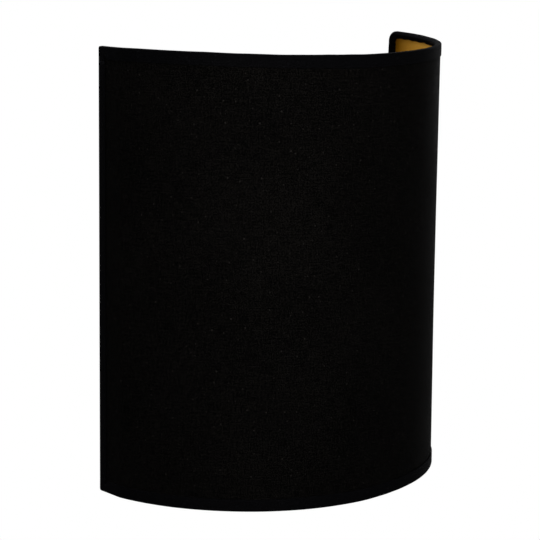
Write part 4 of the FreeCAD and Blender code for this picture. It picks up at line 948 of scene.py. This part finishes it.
def screw_pair(name, node, material, head, rise, pitch, shank, back):
    """Two like screws; head and shank are radii, and back says if their heads point at the wall."""
    low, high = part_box(node)
    edit = bmesh.new()
    face = high.y - rise if back else low.y + rise
    length = face - low.y if back else high.y - face
    axis = (0, 1 if back else -1, 0)
    for side in (-1, 1):
        centre = (side * (high.x - head), face, (low.z + high.z) / 2)
        screw(edit, centre, axis, head, rise, shank, length, pitch, 0.4 + 0.9 * side)
    piece = finish_mesh(name, edit, "wall_fitting", material)
    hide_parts(node)


screw_pair("crossbar_screws", "strap_screws", ZINC,
           head=3.5 * MM, rise=2.6 * MM, pitch=0.7 * MM, shank=2.0 * MM, back=True)
screw_pair("ear_screws", "arm_screws", BLACK_STEEL,
           head=2.8 * MM, rise=2.0 * MM, pitch=0.5 * MM, shank=1.5 * MM, back=False)


def washer_screw():
    """Earth screw: pan head on a cupped washer with a turned-up rim."""
    low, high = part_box("earth_screw")
    centre = Vector(((low.x + high.x) / 2, high.y, (low.z + high.z) / 2))
    outward = Vector((0, -1, 0))
    seat = 2.0 * MM
    sheet = 0.35 * MM
    total = 5.4 * MM
    # Washer section as (radius, level above the crossbar) in millimetres
    upper = [(2.05, 0.35), (3.2, 0.35), (3.5, 0.42), (3.75, 0.62), (4.0, 0.8)]
    lower = [(4.0, 0.45), (3.8, 0.2), (3.55, 0.02), (3.2, 0.0), (2.05, 0.0)]
    edit = bmesh.new()
    rings = []
    for radius, level in upper + lower:
        rings.append(ring_about(centre, outward, radius * MM, seat + level * MM, SMALL_SEGMENTS))
    skin(edit, rings, closed=True)
    base = centre + outward * (seat + sheet)
    screw(edit, base, outward, 3.5 * MM, total - seat - sheet, 2.0 * MM, seat + sheet, 0.7 * MM, 0.25)
    piece = finish_mesh("earth_screw_set", edit, "wall_fitting", ZINC)
    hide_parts("earth_screw")


washer_screw()


# Camera, where the photograph was taken from

VIEW_YAW = math.radians(40.04)
VIEW_PITCH = math.radians(10.67)
VIEW_ROLL = math.radians(0.68)
VIEW_DISTANCE = 1.501
VIEW_ASIDE = 0.01404
VIEW_LEVEL = -0.0124
SENSOR = 36.0
FOCAL = 141.75
CLIP_NEAR, CLIP_FAR = 0.05, 50

forward = Vector((math.sin(VIEW_YAW) * math.cos(VIEW_PITCH), math.cos(VIEW_YAW) * math.cos(VIEW_PITCH),
                  -math.sin(VIEW_PITCH)))
right = Vector((math.cos(VIEW_YAW), -math.sin(VIEW_YAW), 0))
upward = right.cross(forward)
rolled_right = math.cos(VIEW_ROLL) * right + math.sin(VIEW_ROLL) * upward
rolled_up = -math.sin(VIEW_ROLL) * right + math.cos(VIEW_ROLL) * upward
camera_data = bpy.data.cameras.new("view")
camera = bpy.data.objects.new("view", camera_data)
bpy.context.scene.collection.objects.link(camera)
camera_data.lens = FOCAL
camera_data.sensor_width = SENSOR
camera_data.clip_start, camera_data.clip_end = CLIP_NEAR, CLIP_FAR
turn = Matrix((rolled_right, rolled_up, -forward)).transposed().to_4x4()
place = -VIEW_DISTANCE * forward + VIEW_ASIDE * right + Vector((0, 0, VIEW_LEVEL))
camera.matrix_world = Matrix.Translation(place) @ turn
bpy.context.scene.camera = camera


# Studio

WORLD_SEEN = 1.0
WORLD_LIGHT = 0.07
FLOOR_LEVEL = -1.2
FLOOR_REACH = 1.6
FLOOR_COLOUR = (0.82, 0.82, 0.81, 1)
FLOOR_SHADOW = (0.35, 0.35, 0.35, 1)
FLOOR_GLOW = 0.78
# Distances between which the floor fades into the white around it
FADE_FROM, FADE_TO = 0.5, 1.5


def seen_white(name, strength_seen, lit):
    """World: plain white where the camera, gloss or glass looks, soft grey light elsewhere."""
    world = bpy.data.worlds.new(name)
    bpy.context.scene.world = world
    world.use_nodes = True
    tree = world.node_tree
    tree.nodes.clear()
    path = add(tree, "ShaderNodeLightPath")
    seen = maths(tree, "MAXIMUM", path.outputs["Is Camera Ray"], path.outputs["Is Transmission Ray"])
    seen = maths(tree, "MAXIMUM", seen, path.outputs["Is Glossy Ray"])
    light = add(tree, "ShaderNodeBackground")
    light.inputs["Color"].default_value = (1, 1, 1, 1)
    light.inputs["Strength"].default_value = lit
    white = add(tree, "ShaderNodeBackground")
    white.inputs["Color"].default_value = (1, 1, 1, 1)
    white.inputs["Strength"].default_value = strength_seen
    mix = add(tree, "ShaderNodeMixShader")
    link(tree, seen, mix.inputs[0])
    link(tree, light.outputs[0], mix.inputs[1])
    link(tree, white.outputs[0], mix.inputs[2])
    output = add(tree, "ShaderNodeOutputWorld")
    link(tree, mix.outputs[0], output.inputs[0])


seen_white("studio", WORLD_SEEN, WORLD_LIGHT)


def pale_floor():
    """Floor far below: pale where the camera looks, with faint shadows, and plain to other light."""
    mesh = bpy.data.meshes.new("floor")
    corners = ((-1, -1), (1, -1), (1, 1), (-1, 1))
    places = [(x * FLOOR_REACH, y * FLOOR_REACH, FLOOR_LEVEL) for x, y in corners]
    mesh.from_pydata(places, [], [(0, 1, 2, 3)])
    floor = bpy.data.objects.new("floor", mesh)
    bpy.context.scene.collection.objects.link(floor)
    material = bpy.data.materials.new("pale_floor")
    material.use_nodes = True
    tree = material.node_tree
    tree.nodes.clear()
    path = add(tree, "ShaderNodeLightPath")
    plain = add(tree, "ShaderNodeBsdfDiffuse")
    plain.inputs["Color"].default_value = FLOOR_COLOUR
    faint = add(tree, "ShaderNodeBsdfDiffuse")
    faint.inputs["Color"].default_value = FLOOR_SHADOW
    glow = add(tree, "ShaderNodeEmission")
    far = add(tree, "ShaderNodeVectorMath", operation="LENGTH")
    link(tree, add(tree, "ShaderNodeTexCoord").outputs["Object"], far.inputs[0])
    fade = ranged(tree, far.outputs["Value"], FADE_FROM, FADE_TO, FLOOR_GLOW, WORLD_SEEN)
    link(tree, fade, glow.inputs["Strength"])
    both = add(tree, "ShaderNodeAddShader")
    link(tree, faint.outputs[0], both.inputs[0])
    link(tree, glow.outputs[0], both.inputs[1])
    chosen = add(tree, "ShaderNodeMixShader")
    link(tree, path.outputs["Is Camera Ray"], chosen.inputs[0])
    link(tree, plain.outputs[0], chosen.inputs[1])
    link(tree, both.outputs[0], chosen.inputs[2])
    output = add(tree, "ShaderNodeOutputMaterial")
    link(tree, chosen.outputs[0], output.inputs[0])
    mesh.materials.append(material)


pale_floor()


def soft_box(name, azimuth, elevation, distance, width, height, power, colour=(1, 1, 1)):
    """Area light aimed at the shade; azimuth 0 is straight in front, positive to the right.

    Angles are in degrees, distance and size in metres, power in watts.
    """
    data = bpy.data.lights.new(name, "AREA")
    data.shape = "RECTANGLE"
    data.size, data.size_y = width, height
    data.energy = power
    data.color = colour
    lamp = bpy.data.objects.new(name, data)
    bpy.context.scene.collection.objects.link(lamp)
    a, e = math.radians(azimuth), math.radians(elevation)
    away = Vector((math.sin(a) * math.cos(e), -math.cos(a) * math.cos(e), math.sin(e)))
    lamp.location = away * distance
    lamp.rotation_mode = "QUATERNION"
    lamp.rotation_quaternion = away.to_track_quat("Z", "Y")
    lamp.visible_camera = False


soft_box("key", -31, 13, 0.5, 0.15, 0.75, 2.7, (1.0, 0.97, 0.93))
soft_box("right_fill", 112, 20, 1.8, 0.5, 1.4, 5, (0.97, 0.96, 1.0))
soft_box("top", 0, 88, 1.8, 1.4, 1.4, 3)
soft_box("back", -170, 50, 1.6, 1.0, 0.8, 39)

bpy.context.scene.view_settings.view_transform = "Standard"
